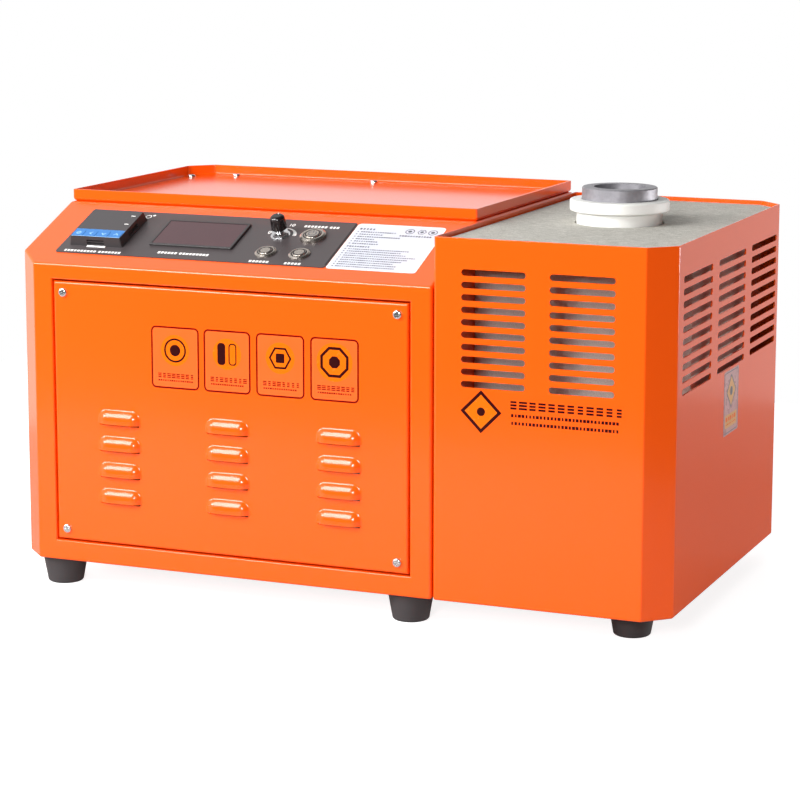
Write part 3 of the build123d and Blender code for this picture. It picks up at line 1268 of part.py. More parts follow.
panel, left_wall, right_wall, rear_wall = cabinet_walls()
save("front_panel", front_panel(panel))
save("left_side_panel", left_wall)
save("divider_panel", cut(right_wall, lead_holes() + join_holes()))
gland_hole = rear(GLAND_X, BASE + GLAND_Z) * Cylinder(GLAND_BARREL_R + FIT, 6 * SHEET)
save("cabinet_rear_panel", cut(rear_wall, fan_holes(*FANS["cabinet"]) + [gland_hole]))
cabinet_base = base_pan(CABINET_LEFT, 0, ("front_left", "back_left"))
save("cabinet_base", cut(cabinet_base, foot_holes(CABINET_FEET)))
save("door_ledge", door_ledge())
save("service_door", service_door())
save("top_tray", top_tray())
save("pan_head_screws", pan_head_screws())

save("fascia_plate", fascia())
save("rating_sticker", rating_sticker())
save("controller_case", controller_case())
save("controller_lens", controller_lens())
save("controller_key_strip", key_strip())
for number, place in enumerate(KEY_PLACES, 1):
    save(f"controller_key_{number}", controller_key(place))
save("display_bezel", display_bezel())
save("display_window", display_window())
save("display_board", display_board())
for kind in BUTTONS:
    save(f"{kind}_button_bezel", button_bezel(kind))
    save(f"{kind}_button_cap", button_cap(kind))
save("panel_nuts", panel_nuts())
save("potentiometer", potentiometer())
save("potentiometer_shaft", pot_shaft())
save("power_knob", knob())

save("control_board", control_board())
save("heat_sink", heat_sink())
save("power_modules", power_modules())
save("capacitor_bank", capacitor_bank())
save("bus_bars", bus_bars())
save("choke", choke())
save("terminal_block", terminal_block())
save("cable_gland", cable_gland())

save("fan_frames", group([fan_frame(x, z) for x, z in FANS.values()]))
for where, (x, z) in FANS.items():
    save(f"{where}_fan_rotor", fan_rotor(x, z))
save("fan_guards", fan_guards())
save("fan_screws", fan_screws())

box_wall, box_rear = box_walls()
save("furnace_shell", cut(furnace_shell(box_wall), lead_holes() + join_holes()))
save("furnace_rear_panel", cut(box_rear, fan_holes(*FANS["box"])))
furnace_base = base_pan(BOX_LEFT, BOX_RIGHT, ("front_right", "back_right"))
save("furnace_base", cut(furnace_base, foot_holes(BOX_FEET)))
save("top_board", top_board())
save("lining_boards", lining_boards())
save("fire_bricks", fire_bricks())
save("thermocouple", thermocouple())
save("crucible_sleeve", crucible_sleeve())
save("crucible", crucible())
save("insulating_wrap", insulating_wrap())
save("induction_coil", induction_coil())
save("coil_bars", coil_bars())
save("side_sticker", side_sticker())

feet = CABINET_FEET + BOX_FEET
save("feet", group([Pos(x, y) * foot() for x, y in feet]))
save("foot_screws", group([Pos(x, y) * foot_screw() for x, y in feet]))
save("joining_bolts", joining_bolts())
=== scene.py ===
# %% [markdown]
# # An electric melting furnace for gold
#
# The object is a bench furnace. A sheet steel cabinet with a sloping control face stands on the
# left, and a slotted box with a lift-out graphite crucible stands on the right. Every solid piece
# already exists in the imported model, at its real size. This lesson gives each of them the finish
# of the real surface, and adds the thin printed things that the solids leave out.

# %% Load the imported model
import json
import math

import bmesh
import bpy
from mathutils import Matrix, Vector


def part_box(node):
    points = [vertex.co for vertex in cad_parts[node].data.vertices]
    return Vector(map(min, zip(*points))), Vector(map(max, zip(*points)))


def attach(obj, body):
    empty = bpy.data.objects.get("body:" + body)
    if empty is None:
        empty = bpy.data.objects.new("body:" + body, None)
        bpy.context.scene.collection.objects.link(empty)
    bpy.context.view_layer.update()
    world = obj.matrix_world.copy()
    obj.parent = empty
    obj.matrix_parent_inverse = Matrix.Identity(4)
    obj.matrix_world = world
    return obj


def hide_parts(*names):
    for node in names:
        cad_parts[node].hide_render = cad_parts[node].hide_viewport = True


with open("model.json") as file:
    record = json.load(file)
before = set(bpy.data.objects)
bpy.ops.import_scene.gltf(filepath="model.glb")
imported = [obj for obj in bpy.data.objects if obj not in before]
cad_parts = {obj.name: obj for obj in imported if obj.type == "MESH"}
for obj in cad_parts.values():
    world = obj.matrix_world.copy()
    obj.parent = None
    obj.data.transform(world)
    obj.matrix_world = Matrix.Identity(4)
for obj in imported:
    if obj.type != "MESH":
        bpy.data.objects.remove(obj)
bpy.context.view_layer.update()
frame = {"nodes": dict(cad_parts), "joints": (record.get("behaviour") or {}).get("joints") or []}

MM = 0.001
NODES = frame["nodes"]

# %% [markdown]
# ## Places
#
# Prints lie on five surfaces: the control face, the white sticker beside it, the door, the front
# of the furnace box and its right wall. Each place is a matrix whose first two columns run along
# the surface and whose third points out of it. All of them are worked out from the solids, so a
# print stays on its surface when a size changes. Lengths on a surface are in millimetres.

# %% Surfaces that carry prints
def surface(origin, along, up):
    """Matrix of a surface: local x and y lie on it, local z points out."""
    out = along.cross(up)
    turn = Matrix((along, up, out)).transposed().to_4x4()
    return Matrix.Translation(origin) @ turn


def press_axis(joint_name):
    """Direction in which a button moves when it is pressed."""
    joint = next(j for j in frame["joints"] if j["name"] == joint_name)
    return Vector(joint["axis"])


RIGHT = Vector((1, 0, 0))
BACK = Vector((0, 1, 0))
UP = Vector((0, 0, 1))
SLOPE_OUT = -press_axis("start_press")
SLOPE_UP = Vector((0, SLOPE_OUT.z, -SLOPE_OUT.y))


def on_slope(node, thick):
    """Outer face of a thin sheet on the slope, with its width and its length up the slope."""
    low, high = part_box(node)
    corner = Vector((low.x, low.y, low.z + thick * MM * SLOPE_OUT.z))
    width = (high.x - low.x) / MM
    length = (high.z - low.z) / MM / SLOPE_UP.z
    return surface(corner, RIGHT, SLOPE_UP), width, length


FASCIA_THICK = 0.8
STICKER_THICK = 0.2
FASCIA, FASCIA_WIDTH, FASCIA_LENGTH = on_slope("fascia_plate", FASCIA_THICK)
STICKER, STICKER_WIDTH, STICKER_LENGTH = on_slope("rating_sticker", STICKER_THICK)

FRONT_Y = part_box("front_panel")[0].y
door_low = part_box("service_door")[0]
DOOR = surface(Vector((door_low.x, FRONT_Y, door_low.z)), RIGHT, UP)

shell_low, shell_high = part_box("furnace_shell")
BOX_FRONT = surface(shell_low, RIGHT, UP)

film_low, film_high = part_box("side_sticker")
SIDE = surface(Vector((shell_high.x, film_low.y, film_low.z)), BACK, UP)
SIDE_WIDTH = (film_high.y - film_low.y) / MM
SIDE_HEIGHT = (film_high.z - film_low.z) / MM
print("fascia width", round(FASCIA_WIDTH, 1), "slope", round(math.degrees(math.asin(-SLOPE_OUT.y)), 1))

# %% [markdown]
# ## Camera
#
# The photograph was taken from the right and a little above, with a long lens. The camera's place
# was solved from the object's corners, so the render can be laid over the photograph.

# %% Camera
CAMERA_AT = Vector((885.8, -2156.8, 603.6)) * MM
CAMERA_AZIMUTH = math.radians(22.071)
CAMERA_DOWN = math.radians(9.648)
CAMERA_ROLL = math.radians(0.150)
SENSOR = 36.0
PICTURE = 800
FOCAL_PIXELS = 2623.7
AXIS_PIXEL = (421.4, 343.2)

camera_data = bpy.data.cameras.new("camera")
camera_data.sensor_width = SENSOR
camera_data.lens = SENSOR * FOCAL_PIXELS / PICTURE
camera_data.shift_x = (PICTURE / 2 - AXIS_PIXEL[0]) / PICTURE
camera_data.shift_y = (AXIS_PIXEL[1] - PICTURE / 2) / PICTURE
camera_data.clip_start = 0.05
camera_data.clip_end = 50.0
camera = bpy.data.objects.new("camera", camera_data)
bpy.context.scene.collection.objects.link(camera)
ahead = Vector((-math.sin(CAMERA_AZIMUTH) * math.cos(CAMERA_DOWN),
                math.cos(CAMERA_AZIMUTH) * math.cos(CAMERA_DOWN), -math.sin(CAMERA_DOWN)))
turn = ahead.to_track_quat("-Z", "Y").to_matrix().to_4x4()
camera.matrix_world = Matrix.Translation(CAMERA_AT) @ turn @ Matrix.Rotation(CAMERA_ROLL, 4, "Z")
bpy.context.scene.camera = camera
bpy.context.scene.view_settings.view_transform = "Standard"
print("camera at", [round(v, 3) for v in CAMERA_AT], "lens", round(camera_data.lens, 1))

# %% [markdown]
# ## Room, lamps and floor
#
# The object stands in a white room that is brighter behind and to the left, which lays a pale
# haze on the tray and the sloping face. The camera itself sees the room as plain white. The room
# and all the finishes are made of nodes, so one small function adds a node with its links.

# %% One small function for every node
def add(tree, kind, links=None, **settings):
    """Add a node; links maps its inputs to a value or to another node's output."""
    node = tree.nodes.new(kind)
    for name, value in settings.items():
        setattr(node, name, value)
    for socket, source in (links or {}).items():
        if isinstance(source, bpy.types.NodeSocket):
            tree.links.new(source, node.inputs[socket])
        else:
            node.inputs[socket].default_value = source
    return node


# %% A white room, seen by the camera as plain white
world = bpy.data.worlds.new("white_room")
bpy.context.scene.world = world
world.use_nodes = True
room = world.node_tree
room.nodes.clear()
way = add(room, "ShaderNodeTexCoord").outputs["Generated"]
BRIGHT_WAY = Vector((-0.80, 0.58, -0.10)).normalized()
lean = add(room, "ShaderNodeVectorMath", {0: way, 1: BRIGHT_WAY}, operation="DOT_PRODUCT")
level = add(room, "ShaderNodeMapRange", {"Value": lean.outputs["Value"], "From Min": -0.30,
                                         "From Max": 0.90, "To Min": 0.05, "To Max": 1.0},
            interpolation_type="SMOOTHSTEP")
seen = add(room, "ShaderNodeLightPath").outputs["Is Camera Ray"]
strength = add(room, "ShaderNodeMath", {0: level.outputs["Result"], 1: seen}, operation="MAXIMUM")
sky = add(room, "ShaderNodeBackground", {"Color": (1, 1, 1, 1), "Strength": strength.outputs[0]})
add(room, "ShaderNodeOutputWorld", {"Surface": sky.outputs[0]})
print("brightest way", [round(v, 2) for v in BRIGHT_WAY])

# %% [markdown]
# Five soft lamps stand in the room. The key lamp is small and stands low in front, a little to
# the right: it shines through the slots on the boards behind them. The top lamp is large and high
# in front on the left, and makes the pale streaks on the louvres. The side lamp, lower and further
# left, lights the flanks of the crucible and its sleeve. The fill lamp stands low behind on the
# right, where the right wall mirrors it, and gives that wall its pink glare. The left lamp is
# weak, and puts a little haze on the left bevel.

# %% Soft lamps
MIDDLE = Vector((0.0, 0.0, 0.16))


def softbox(name, at, width, height, power):
    """Rectangular lamp, aimed at the object's middle; metres and watts."""
    lamp = bpy.data.lights.new(name, "AREA")
    lamp.shape = "RECTANGLE"
    lamp.size = width
    lamp.size_y = height
    lamp.energy = power
    item = bpy.data.objects.new(name, lamp)
    bpy.context.scene.collection.objects.link(item)
    aim = (MIDDLE - Vector(at)).to_track_quat("-Z", "Y").to_matrix().to_4x4()
    item.matrix_world = Matrix.Translation(at) @ aim
    item.visible_camera = False


softbox("key_lamp", (0.46, -2.35, 0.86), width=0.45, height=0.4, power=33.0)
softbox("fill_lamp", (2.1, 1.3, 0.14), width=1.4, height=0.24, power=33.0)
softbox("top_lamp", (-0.95, -1.62, 1.46), width=0.9, height=1.1, power=47.0)
softbox("side_lamp", (-1.75, -1.3, 1.0), width=0.7, height=0.6, power=27.0)
softbox("left_lamp", (-2.2, 0.7, 0.3), width=0.8, height=1.2, power=0.4)
print("lamps", len(bpy.data.lights))

# %% [markdown]
# The floor is one matt sheet. Its diffuse part takes the object's soft shadow and throws light
# up at the lower edges. For the camera alone it also glows, so that it looks nearly white.

# %% Floor
FLOOR_HALF = 0.9
FLOOR_SHADE = 0.46
FLOOR_GLOW = 0.86
floor_mesh = bpy.data.meshes.new("floor")
corners = [(-1, -1), (1, -1), (1, 1), (-1, 1)]
floor_mesh.from_pydata([(x * FLOOR_HALF, y * FLOOR_HALF, 0.0) for x, y in corners], [], [(0, 1, 2, 3)])
floor = bpy.data.objects.new("floor", floor_mesh)
bpy.context.scene.collection.objects.link(floor)
floor_paint = bpy.data.materials.new("white_floor")
floor_paint.use_nodes = True
floor_tree = floor_paint.node_tree
floor_tree.nodes.clear()
matt = add(floor_tree, "ShaderNodeBsdfDiffuse", {"Color": (FLOOR_SHADE, FLOOR_SHADE, FLOOR_SHADE, 1)})
looked_at = add(floor_tree, "ShaderNodeLightPath").outputs["Is Camera Ray"]
lift = add(floor_tree, "ShaderNodeMath", {0: looked_at, 1: FLOOR_GLOW}, operation="MULTIPLY")
glow = add(floor_tree, "ShaderNodeEmission", {"Color": (1, 1, 1, 1), "Strength": lift.outputs[0]})
both = add(floor_tree, "ShaderNodeAddShader", {0: matt.outputs[0], 1: glow.outputs[0]})
add(floor_tree, "ShaderNodeOutputMaterial", {"Surface": both.outputs[0]})
floor.data.materials.append(floor_paint)
print("floor in m", 2 * FLOOR_HALF)

# %% [markdown]
# ## Finishes
#
# Each finish starts from the real material and how its surface was made. Colours are given as the
# sRGB values of such a surface, and one function turns them into the linear values that the
# shader works with. The patterns run on Object coordinates. Every piece stands at the origin, so a
# pattern has the same real size on all of them.

# %% Colour and an empty material
def linear(colour):
    """Linear RGBA from an sRGB hex colour."""
    values = []
    for i in (1, 3, 5):
        part = int(colour[i:i + 2], 16) / 255
        values.append(part / 12.92 if part <= 0.04045 else ((part + 0.055) / 1.055) ** 2.4)
    return (*values, 1.0)


def empty_material(name, **sockets):
    """Material with one shader; sockets set the shader's own values."""
    material = bpy.data.materials.new(name)
    material.use_nodes = True
    tree = material.node_tree
    tree.nodes.clear()
    shader = add(tree, "ShaderNodeBsdfPrincipled")
    for socket, value in sockets.items():
        shader.inputs[socket.replace("_", " ")].default_value = value
    add(tree, "ShaderNodeOutputMaterial", {"Surface": shader.outputs[0]})
    place = add(tree, "ShaderNodeTexCoord").outputs["Object"]
    return material, tree, shader, place


# %% [markdown]
# Most of the small parts are moulded, machined or cast, and differ in colour, gloss and grain.
# One function makes such a finish. The grain is a noise of a real size in millimetres. It shifts
# the shade a little, makes the gloss uneven and raises the surface by a real depth.

# %% Finish with a grain
def grained(name, colour, other, grain_mm, depth_mm, rough, stretch=(1, 1, 1), **sockets):
    """Two near shades mixed by a grain; rough is the least and the greatest roughness."""
    material, tree, shader, place = empty_material(name, **sockets)
    spread = add(tree, "ShaderNodeMapping", {"Vector": place, "Scale": stretch})
    grain = add(tree, "ShaderNodeTexNoise", {"Vector": spread.outputs[0], "Scale": 1 / (grain_mm * MM),
                                             "Detail": 4.0, "Roughness": 0.6})
    shades = add(tree, "ShaderNodeMix", {0: grain.outputs[0], 6: linear(colour), 7: linear(other)},
                 data_type="RGBA")
    gloss = add(tree, "ShaderNodeMapRange", {"Value": grain.outputs[0], "From Min": 0.25,
                                             "From Max": 0.75, "To Min": rough[0], "To Max": rough[1]})
    bump = add(tree, "ShaderNodeBump", {"Height": grain.outputs[0], "Strength": 1.0,
                                        "Distance": depth_mm * MM})
    tree.links.new(shades.outputs[2], shader.inputs["Base Color"])
    tree.links.new(gloss.outputs[0], shader.inputs["Roughness"])
    tree.links.new(bump.outputs[0], shader.inputs["Normal"])
    return material


# %% [markdown]
# ### Orange powder coat
#
# Powder coat is a thick baked plastic skin on the steel. It is glossy, its surface has the slow
# waves called orange peel, a few millimetres from crest to crest, and a fine grit in it. The
# colour stays even, with a slight shift over a large sheet. A clear coat on the shader gives the
# sharp white glare at flat angles, and the rougher base below it the broad soft one.

# %% Powder coat
PEEL_MM = 4.0
PEEL_DEPTH_MM = 0.012
GRIT_MM = 0.7
GRIT_DEPTH_MM = 0.002
SHIFT_MM = 260.0
powder, tree, shader, place = empty_material("orange_powder_coat", Roughness=0.19, IOR=1.5,
                                             Coat_Weight=0.10, Coat_Roughness=0.08, Coat_IOR=1.5)
shift = add(tree, "ShaderNodeTexNoise", {"Vector": place, "Scale": 1 / (SHIFT_MM * MM), "Detail": 1.0})
shades = add(tree, "ShaderNodeMix", {0: shift.outputs[0], 6: linear("#f85607"), 7: linear("#fa5a0a")},
             data_type="RGBA")
peel = add(tree, "ShaderNodeTexNoise", {"Vector": place, "Scale": 1 / (PEEL_MM * MM), "Detail": 2.0})
grit = add(tree, "ShaderNodeTexNoise", {"Vector": place, "Scale": 1 / (GRIT_MM * MM), "Detail": 2.0})
waves = add(tree, "ShaderNodeBump", {"Height": peel.outputs[0], "Strength": 1.0,
                                     "Distance": PEEL_DEPTH_MM * MM})
skin = add(tree, "ShaderNodeBump", {"Height": grit.outputs[0], "Strength": 1.0,
                                    "Distance": GRIT_DEPTH_MM * MM, "Normal": waves.outputs[0]})
tree.links.new(shades.outputs[2], shader.inputs["Base Color"])
tree.links.new(skin.outputs[0], shader.inputs["Normal"])
tree.links.new(waves.outputs[0], shader.inputs["Coat Normal"])
print("orange peel in mm", PEEL_MM, "grit", GRIT_MM)

# %% [markdown]
# ### Fibre-cement board
#
# The board round the crucible is pressed from cement and mineral fibre. It is pale grey and dead
# matt. The press cloth leaves a weave of fine wavy creases that run across the board, so the
# noise is stretched along x and bent by a second, slower noise. The lining boards deeper inside
# are the same stuff, rough sawn: speckled, and nearly white where the saw has torn the fibres.

# %% Boards
CREASE_MM = 1.7
CREASE_DEPTH_MM = 0.45
CREASE_STRETCH = 0.16
BEND_MM = 30.0
BEND_SHARE = 0.018
SPECK_MM = 0.9
board_skin, tree, shader, place = empty_material("pressed_cement_board", Roughness=0.88, IOR=1.45)
bend = add(tree, "ShaderNodeTexNoise", {"Vector": place, "Scale": 1 / (BEND_MM * MM), "Detail": 2.0})
bent = add(tree, "ShaderNodeMix", {0: BEND_SHARE, 4: place, 5: bend.outputs[1]}, data_type="VECTOR")
long_way = add(tree, "ShaderNodeMapping", {"Vector": bent.outputs[1], "Scale": (CREASE_STRETCH, 1, 1)})
crease = add(tree, "ShaderNodeTexNoise", {"Vector": long_way.outputs[0], "Scale": 1 / (CREASE_MM * MM),
                                          "Detail": 3.0, "Roughness": 0.55})
speck = add(tree, "ShaderNodeTexNoise", {"Vector": place, "Scale": 1 / (SPECK_MM * MM), "Detail": 2.0})
cloudy = add(tree, "ShaderNodeMath", {0: crease.outputs[0], 1: speck.outputs[0]}, operation="MULTIPLY")
lines = add(tree, "ShaderNodeMapRange", {"Value": cloudy.outputs[0], "From Min": 0.14, "From Max": 0.36})
shades = add(tree, "ShaderNodeMix", {0: lines.outputs[0], 6: linear("#a19e95"), 7: linear("#cfccc4")},
             data_type="RGBA")
bump = add(tree, "ShaderNodeBump", {"Height": crease.outputs[0], "Strength": 1.0,
                                    "Distance": CREASE_DEPTH_MM * MM})
tree.links.new(shades.outputs[2], shader.inputs["Base Color"])
tree.links.new(bump.outputs[0], shader.inputs["Normal"])

lining_skin = grained("sawn_cement_board", "#9c948c", "#fffaf2", 1.1, 0.35, (0.85, 0.95), IOR=1.45)
brick_skin = grained("fire_brick", "#b8946a", "#dcc39a", 1.6, 0.6, (0.85, 0.95), IOR=1.5)
wrap_skin = grained("ceramic_fibre_blanket", "#d9d6cc", "#f1efe8", 1.2, 0.8, (0.9, 1.0), (0.3, 0.3, 1),
                    IOR=1.45)
print("boards", board_skin.name, lining_skin.name)

# %% [markdown]
# ### Graphite and ceramic
#
# The crucible is turned from graphite. The tool leaves rings a few tenths of a millimetre apart,
# which catch the light as streaks up and down the wall. Graphite has a dull metallic shine, so
# the shader is partly metallic. The rings change its roughness, and a slow noise stands for the
# dust on it. The sleeve is cast alumina, chalk white and smooth, with hardly any gloss.

# %% Turned graphite and cast alumina
TOOL_MARK_MM = 0.45
TOOL_MARK_DEPTH_MM = 0.03
RING_STRETCH = 0.03
DUST_MM = 6.0
graphite, tree, shader, place = empty_material("turned_graphite", Metallic=0.6, IOR=1.5)
ringed = add(tree, "ShaderNodeMapping", {"Vector": place, "Scale": (RING_STRETCH, RING_STRETCH, 1)})
marks = add(tree, "ShaderNodeTexNoise", {"Vector": ringed.outputs[0], "Scale": 1 / (TOOL_MARK_MM * MM),
                                         "Detail": 2.0})
dust = add(tree, "ShaderNodeTexNoise", {"Vector": place, "Scale": 1 / (DUST_MM * MM), "Detail": 4.0})
shades = add(tree, "ShaderNodeMix", {0: dust.outputs[0], 6: linear("#78767b"), 7: linear("#a3a1a6")},
             data_type="RGBA")
gloss = add(tree, "ShaderNodeMapRange", {"Value": marks.outputs[0], "To Min": 0.42, "To Max": 0.58})
bump = add(tree, "ShaderNodeBump", {"Height": marks.outputs[0], "Strength": 1.0,
                                    "Distance": TOOL_MARK_DEPTH_MM * MM})
tree.links.new(shades.outputs[2], shader.inputs["Base Color"])
tree.links.new(gloss.outputs[0], shader.inputs["Roughness"])
tree.links.new(bump.outputs[0], shader.inputs["Normal"])

alumina = grained("cast_alumina", "#dededa", "#e5e5e1", 3.0, 0.03, (0.5, 0.62), IOR=1.6,
                  Subsurface_Weight=0.12, Subsurface_Radius=(0.002, 0.002, 0.002))
print("tool marks in mm", TOOL_MARK_MM)

# %% [markdown]
# ### Metals
#
# The stainless buttons are turned, and at this size a fine even grain stands for the turning
# marks. Zinc plating on the screws is bright and a little cloudy. The wire guards are chromed.
# Copper inside has a soft oxide. The heat sink is extruded and the probe is drawn, so their
# grains are long. A metal keeps the default index of refraction.

# %% Metal finishes
steel = grained("turned_stainless_steel", "#b2a9a0", "#c8bfb6", 0.6, 0.006, (0.18, 0.34), Metallic=1.0)
zinc = grained("bright_zinc_plate", "#cfcfd0", "#efeff0", 1.5, 0.006, (0.14, 0.3), Metallic=1.0)
chrome = grained("chromed_wire", "#d9dadd", "#f2f3f5", 8.0, 0.004, (0.05, 0.12), Metallic=1.0)
copper = grained("drawn_copper", "#b8623c", "#e59a6e", 5.0, 0.01, (0.25, 0.42), Metallic=1.0)
sink_metal = grained("extruded_aluminium", "#c3c5c8", "#dddfe1", 1.0, 0.01, (0.3, 0.45), (1, 0.05, 1),
                     Metallic=1.0)
probe = grained("drawn_probe_steel", "#8d8a86", "#a8a49f", 0.8, 0.01, (0.3, 0.45), (1, 1, 0.05),
                Metallic=1.0)
print("finishes", len(bpy.data.materials))

# %% [markdown]
# ### Plastics, rubber and films
#
# The controller and the fans are moulded in dark ABS and nylon. Their moulds are spark eroded,
# which leaves a fine even grain and takes the gloss off. The lens and the display window are
# polished, with only a trace of waviness. The cover film of the controls is printed polyester
# with a fine satin tooth, and it looks dark grey under a bright room rather than black. The film
# on the right wall is silver vinyl, and its rose colour is a painted reflection of the orange.

# %% Plastic finishes
fascia_film = grained("satin_polyester_film", "#40393a", "#494243", 0.35, 0.006, (0.36, 0.46), IOR=1.5)
abs_black = grained("spark_eroded_abs", "#2c2829", "#343031", 0.4, 0.015, (0.42, 0.55), IOR=1.53)
lens_skin = grained("smoked_acrylic_lens", "#383335", "#3c3739", 9.0, 0.004, (0.16, 0.22), IOR=1.49)
window_skin = grained("dark_red_acrylic", "#42242a", "#4a2a2f", 14.0, 0.01, (0.08, 0.13), IOR=1.49)
bezel_skin = grained("moulded_display_frame", "#2c292a", "#353132", 0.5, 0.008, (0.32, 0.42), IOR=1.53)
blue_skin = grained("blue_key_film", "#2c70b4", "#367bc0", 3.0, 0.006, (0.34, 0.44), IOR=1.5)
knob_skin = grained("polished_phenolic", "#171213", "#1f191a", 2.0, 0.006, (0.1, 0.18), IOR=1.55)
rubber = grained("moulded_rubber", "#353031", "#3f3a3b", 0.8, 0.03, (0.6, 0.75), IOR=1.5)
nylon = grained("black_nylon", "#1c1b1c", "#262526", 0.6, 0.02, (0.4, 0.55), IOR=1.53)
epoxy = grained("filled_epoxy", "#1d1c1c", "#2a2827", 0.5, 0.02, (0.5, 0.65), IOR=1.55)
cap_skin = grained("grey_polyester_case", "#70757a", "#7d8287", 1.0, 0.01, (0.45, 0.6), IOR=1.5)
ferrite = grained("ferrite_core", "#2c2927", "#3a3633", 1.0, 0.04, (0.55, 0.7), IOR=1.6)
cream = grained("cream_thermoplastic", "#d9d3bd", "#e3decb", 0.8, 0.01, (0.4, 0.5), IOR=1.5)
phenolic = grained("brown_phenolic_board", "#6b3f22", "#82502f", 0.7, 0.02, (0.45, 0.6), (1, 1, 0.1),
                   IOR=1.5)
white_film = grained("gloss_white_vinyl", "#cdd0db", "#d5d7e1", 20.0, 0.01, (0.18, 0.26), IOR=1.5)
# Silver vinyl given a rose colour, which is a painted reflection of the orange coat round it.
silver_film_painted_rose = grained("silver_vinyl_painted_reflection", "#c08c8c", "#cc9a98", 12.0, 0.01, (0.22, 0.34), IOR=1.5)
print("finishes", len(bpy.data.materials))

# %% [markdown]
# The circuit boards are glass-epoxy under a green lacquer. Copper tracks lift the lacquer and
# show through as a lighter green, so a brick pattern of a few millimetres stands for them.

# %% Circuit board
TRACK_MM = 3.0
TRACK_DEPTH_MM = 0.03
circuit, tree, shader, place = empty_material("lacquered_circuit_board", Roughness=0.35, IOR=1.55)
tracks = add(tree, "ShaderNodeTexBrick", {"Vector": place, "Scale": 1 / (TRACK_MM * MM),
                                          "Mortar Size": 0.12, "Color1": linear("#14512c"),
                                          "Color2": linear("#1a6236"), "Mortar": linear("#2f8a50")})
bump = add(tree, "ShaderNodeBump", {"Height": tracks.outputs[1], "Strength": 1.0,
                                    "Distance": TRACK_DEPTH_MM * MM})
tree.links.new(tracks.outputs[0], shader.inputs["Base Color"])
tree.links.new(bump.outputs[0], shader.inputs["Normal"])
print("tracks in mm", TRACK_MM)

# %% [markdown]
# ## Finishes on the solids
#
# Each solid gets its finish by name. A solid's mesh stays as it is, and only its material
# changes.

# %% Give every solid its finish
FINISH = {
    powder: ["front_panel", "left_side_panel", "divider_panel", "cabinet_rear_panel", "cabinet_base",
             "door_ledge", "service_door", "top_tray", "furnace_shell", "furnace_rear_panel",
             "furnace_base"],
    zinc: ["pan_head_screws", "panel_nuts", "potentiometer", "potentiometer_shaft", "fan_screws",
           "foot_screws", "joining_bolts"],
    steel: ["start_button_bezel", "start_button_cap", "stop_button_bezel", "stop_button_cap",
            "power_button_bezel", "power_button_cap"],
    fascia_film: ["fascia_plate"],
    white_film: ["rating_sticker"],
    silver_film_painted_rose: ["side_sticker"],
    abs_black: ["controller_case"],
    lens_skin: ["controller_lens"],
    blue_skin: ["controller_key_strip"] + [f"controller_key_{i}" for i in range(1, 5)],
    bezel_skin: ["display_bezel"],
    window_skin: ["display_window"],
    circuit: ["display_board", "control_board"],
    knob_skin: ["power_knob"],
    sink_metal: ["heat_sink"],
    epoxy: ["power_modules"],
    cap_skin: ["capacitor_bank"],
    copper: ["bus_bars", "induction_coil"],
    ferrite: ["choke"],
    cream: ["terminal_block"],
    nylon: ["cable_gland", "fan_frames", "cabinet_fan_rotor", "box_fan_rotor"],
    chrome: ["fan_guards"],
    board_skin: ["top_board"],
    lining_skin: ["lining_boards"],
    brick_skin: ["fire_bricks"],
    probe: ["thermocouple"],
    alumina: ["crucible_sleeve"],
    graphite: ["crucible"],
    wrap_skin: ["insulating_wrap"],
    phenolic: ["coil_bars"],
    rubber: ["feet"],
}
dressed = set()
for finish, names in FINISH.items():
    for name in names:
        NODES[name].data.materials.clear()
        NODES[name].data.materials.append(finish)
        dressed.add(name)
print("dressed", len(dressed), "bare", sorted(set(NODES) - dressed))

# %% [markdown]
# ## Prints
#
# Prints and films are thin flat shapes. A flat curve with several closed outlines fills the area
# between them, so a ring is an outline inside another. The curve is turned into a mesh, laid on
# its surface and given to the body that carries it. An ink is 0.04 mm thick at most, and a film
# about a tenth of a millimetre. The dark inks on the orange coat are glossy, and the others are
# matt. Two amber vinyls, one of them pale, fill the figures. A clear vinyl takes its colour from
# the orange below it. The gap line is a near black painted shade: it stands for the shade in
# narrow gaps and grooves, and for the shadow along the edge of the control film.

# %% Inks
white_ink = grained("white_screen_ink", "#e9e6e2", "#f6f4f1", 0.5, 0.004, (0.45, 0.6), IOR=1.5)
grey_ink = grained("grey_screen_ink", "#44454f", "#5a5b67", 0.5, 0.004, (0.5, 0.65), IOR=1.5)
black_ink = grained("brown_black_screen_ink", "#2c090b", "#340d0f", 0.5, 0.004, (0.12, 0.2), IOR=1.3)
# Near black painted shade for narrow gaps and grooves, and painted shadow along a film's edge.
gap_shade = grained("painted_gap_shade", "#1c1718", "#241e1f", 0.5, 0.004, (0.5, 0.65), IOR=1.5)
pale_blue_ink = grained("pale_blue_key_ink", "#8fbce8", "#9cc6ee", 0.5, 0.004, (0.4, 0.55), IOR=1.5)
red_ink = grained("dark_red_screen_ink", "#6a0502", "#760904", 0.5, 0.004, (0.12, 0.2), IOR=1.3)
amber_film = grained("amber_vinyl", "#f06502", "#f26a03", 5.0, 0.004, (0.2, 0.3), IOR=1.35)
amber_pale = grained("pale_amber_vinyl", "#d99a55", "#e3a861", 5.0, 0.004, (0.25, 0.35), IOR=1.5)
rose_film = grained("clear_vinyl_on_orange", "#f95e22", "#fa6125", 12.0, 0.01, (0.2, 0.26), IOR=1.45)
print("finishes", len(bpy.data.materials))

# %% Outlines, in millimetres
ROUND_STEPS = 7


def ring_points(x, y, radius, count=48):
    """Circle, or with a small count a regular polygon that stands on a flat side."""
    start = -math.pi / 2 - math.pi / count
    return [(x + radius * math.cos(start + 2 * math.pi * i / count),
             y + radius * math.sin(start + 2 * math.pi * i / count)) for i in range(count)]


def rings(x, y, radii, count=48):
    """Circles or regular polygons inside each other, round one middle."""
    return [ring_points(x, y, radius, count) for radius in radii]


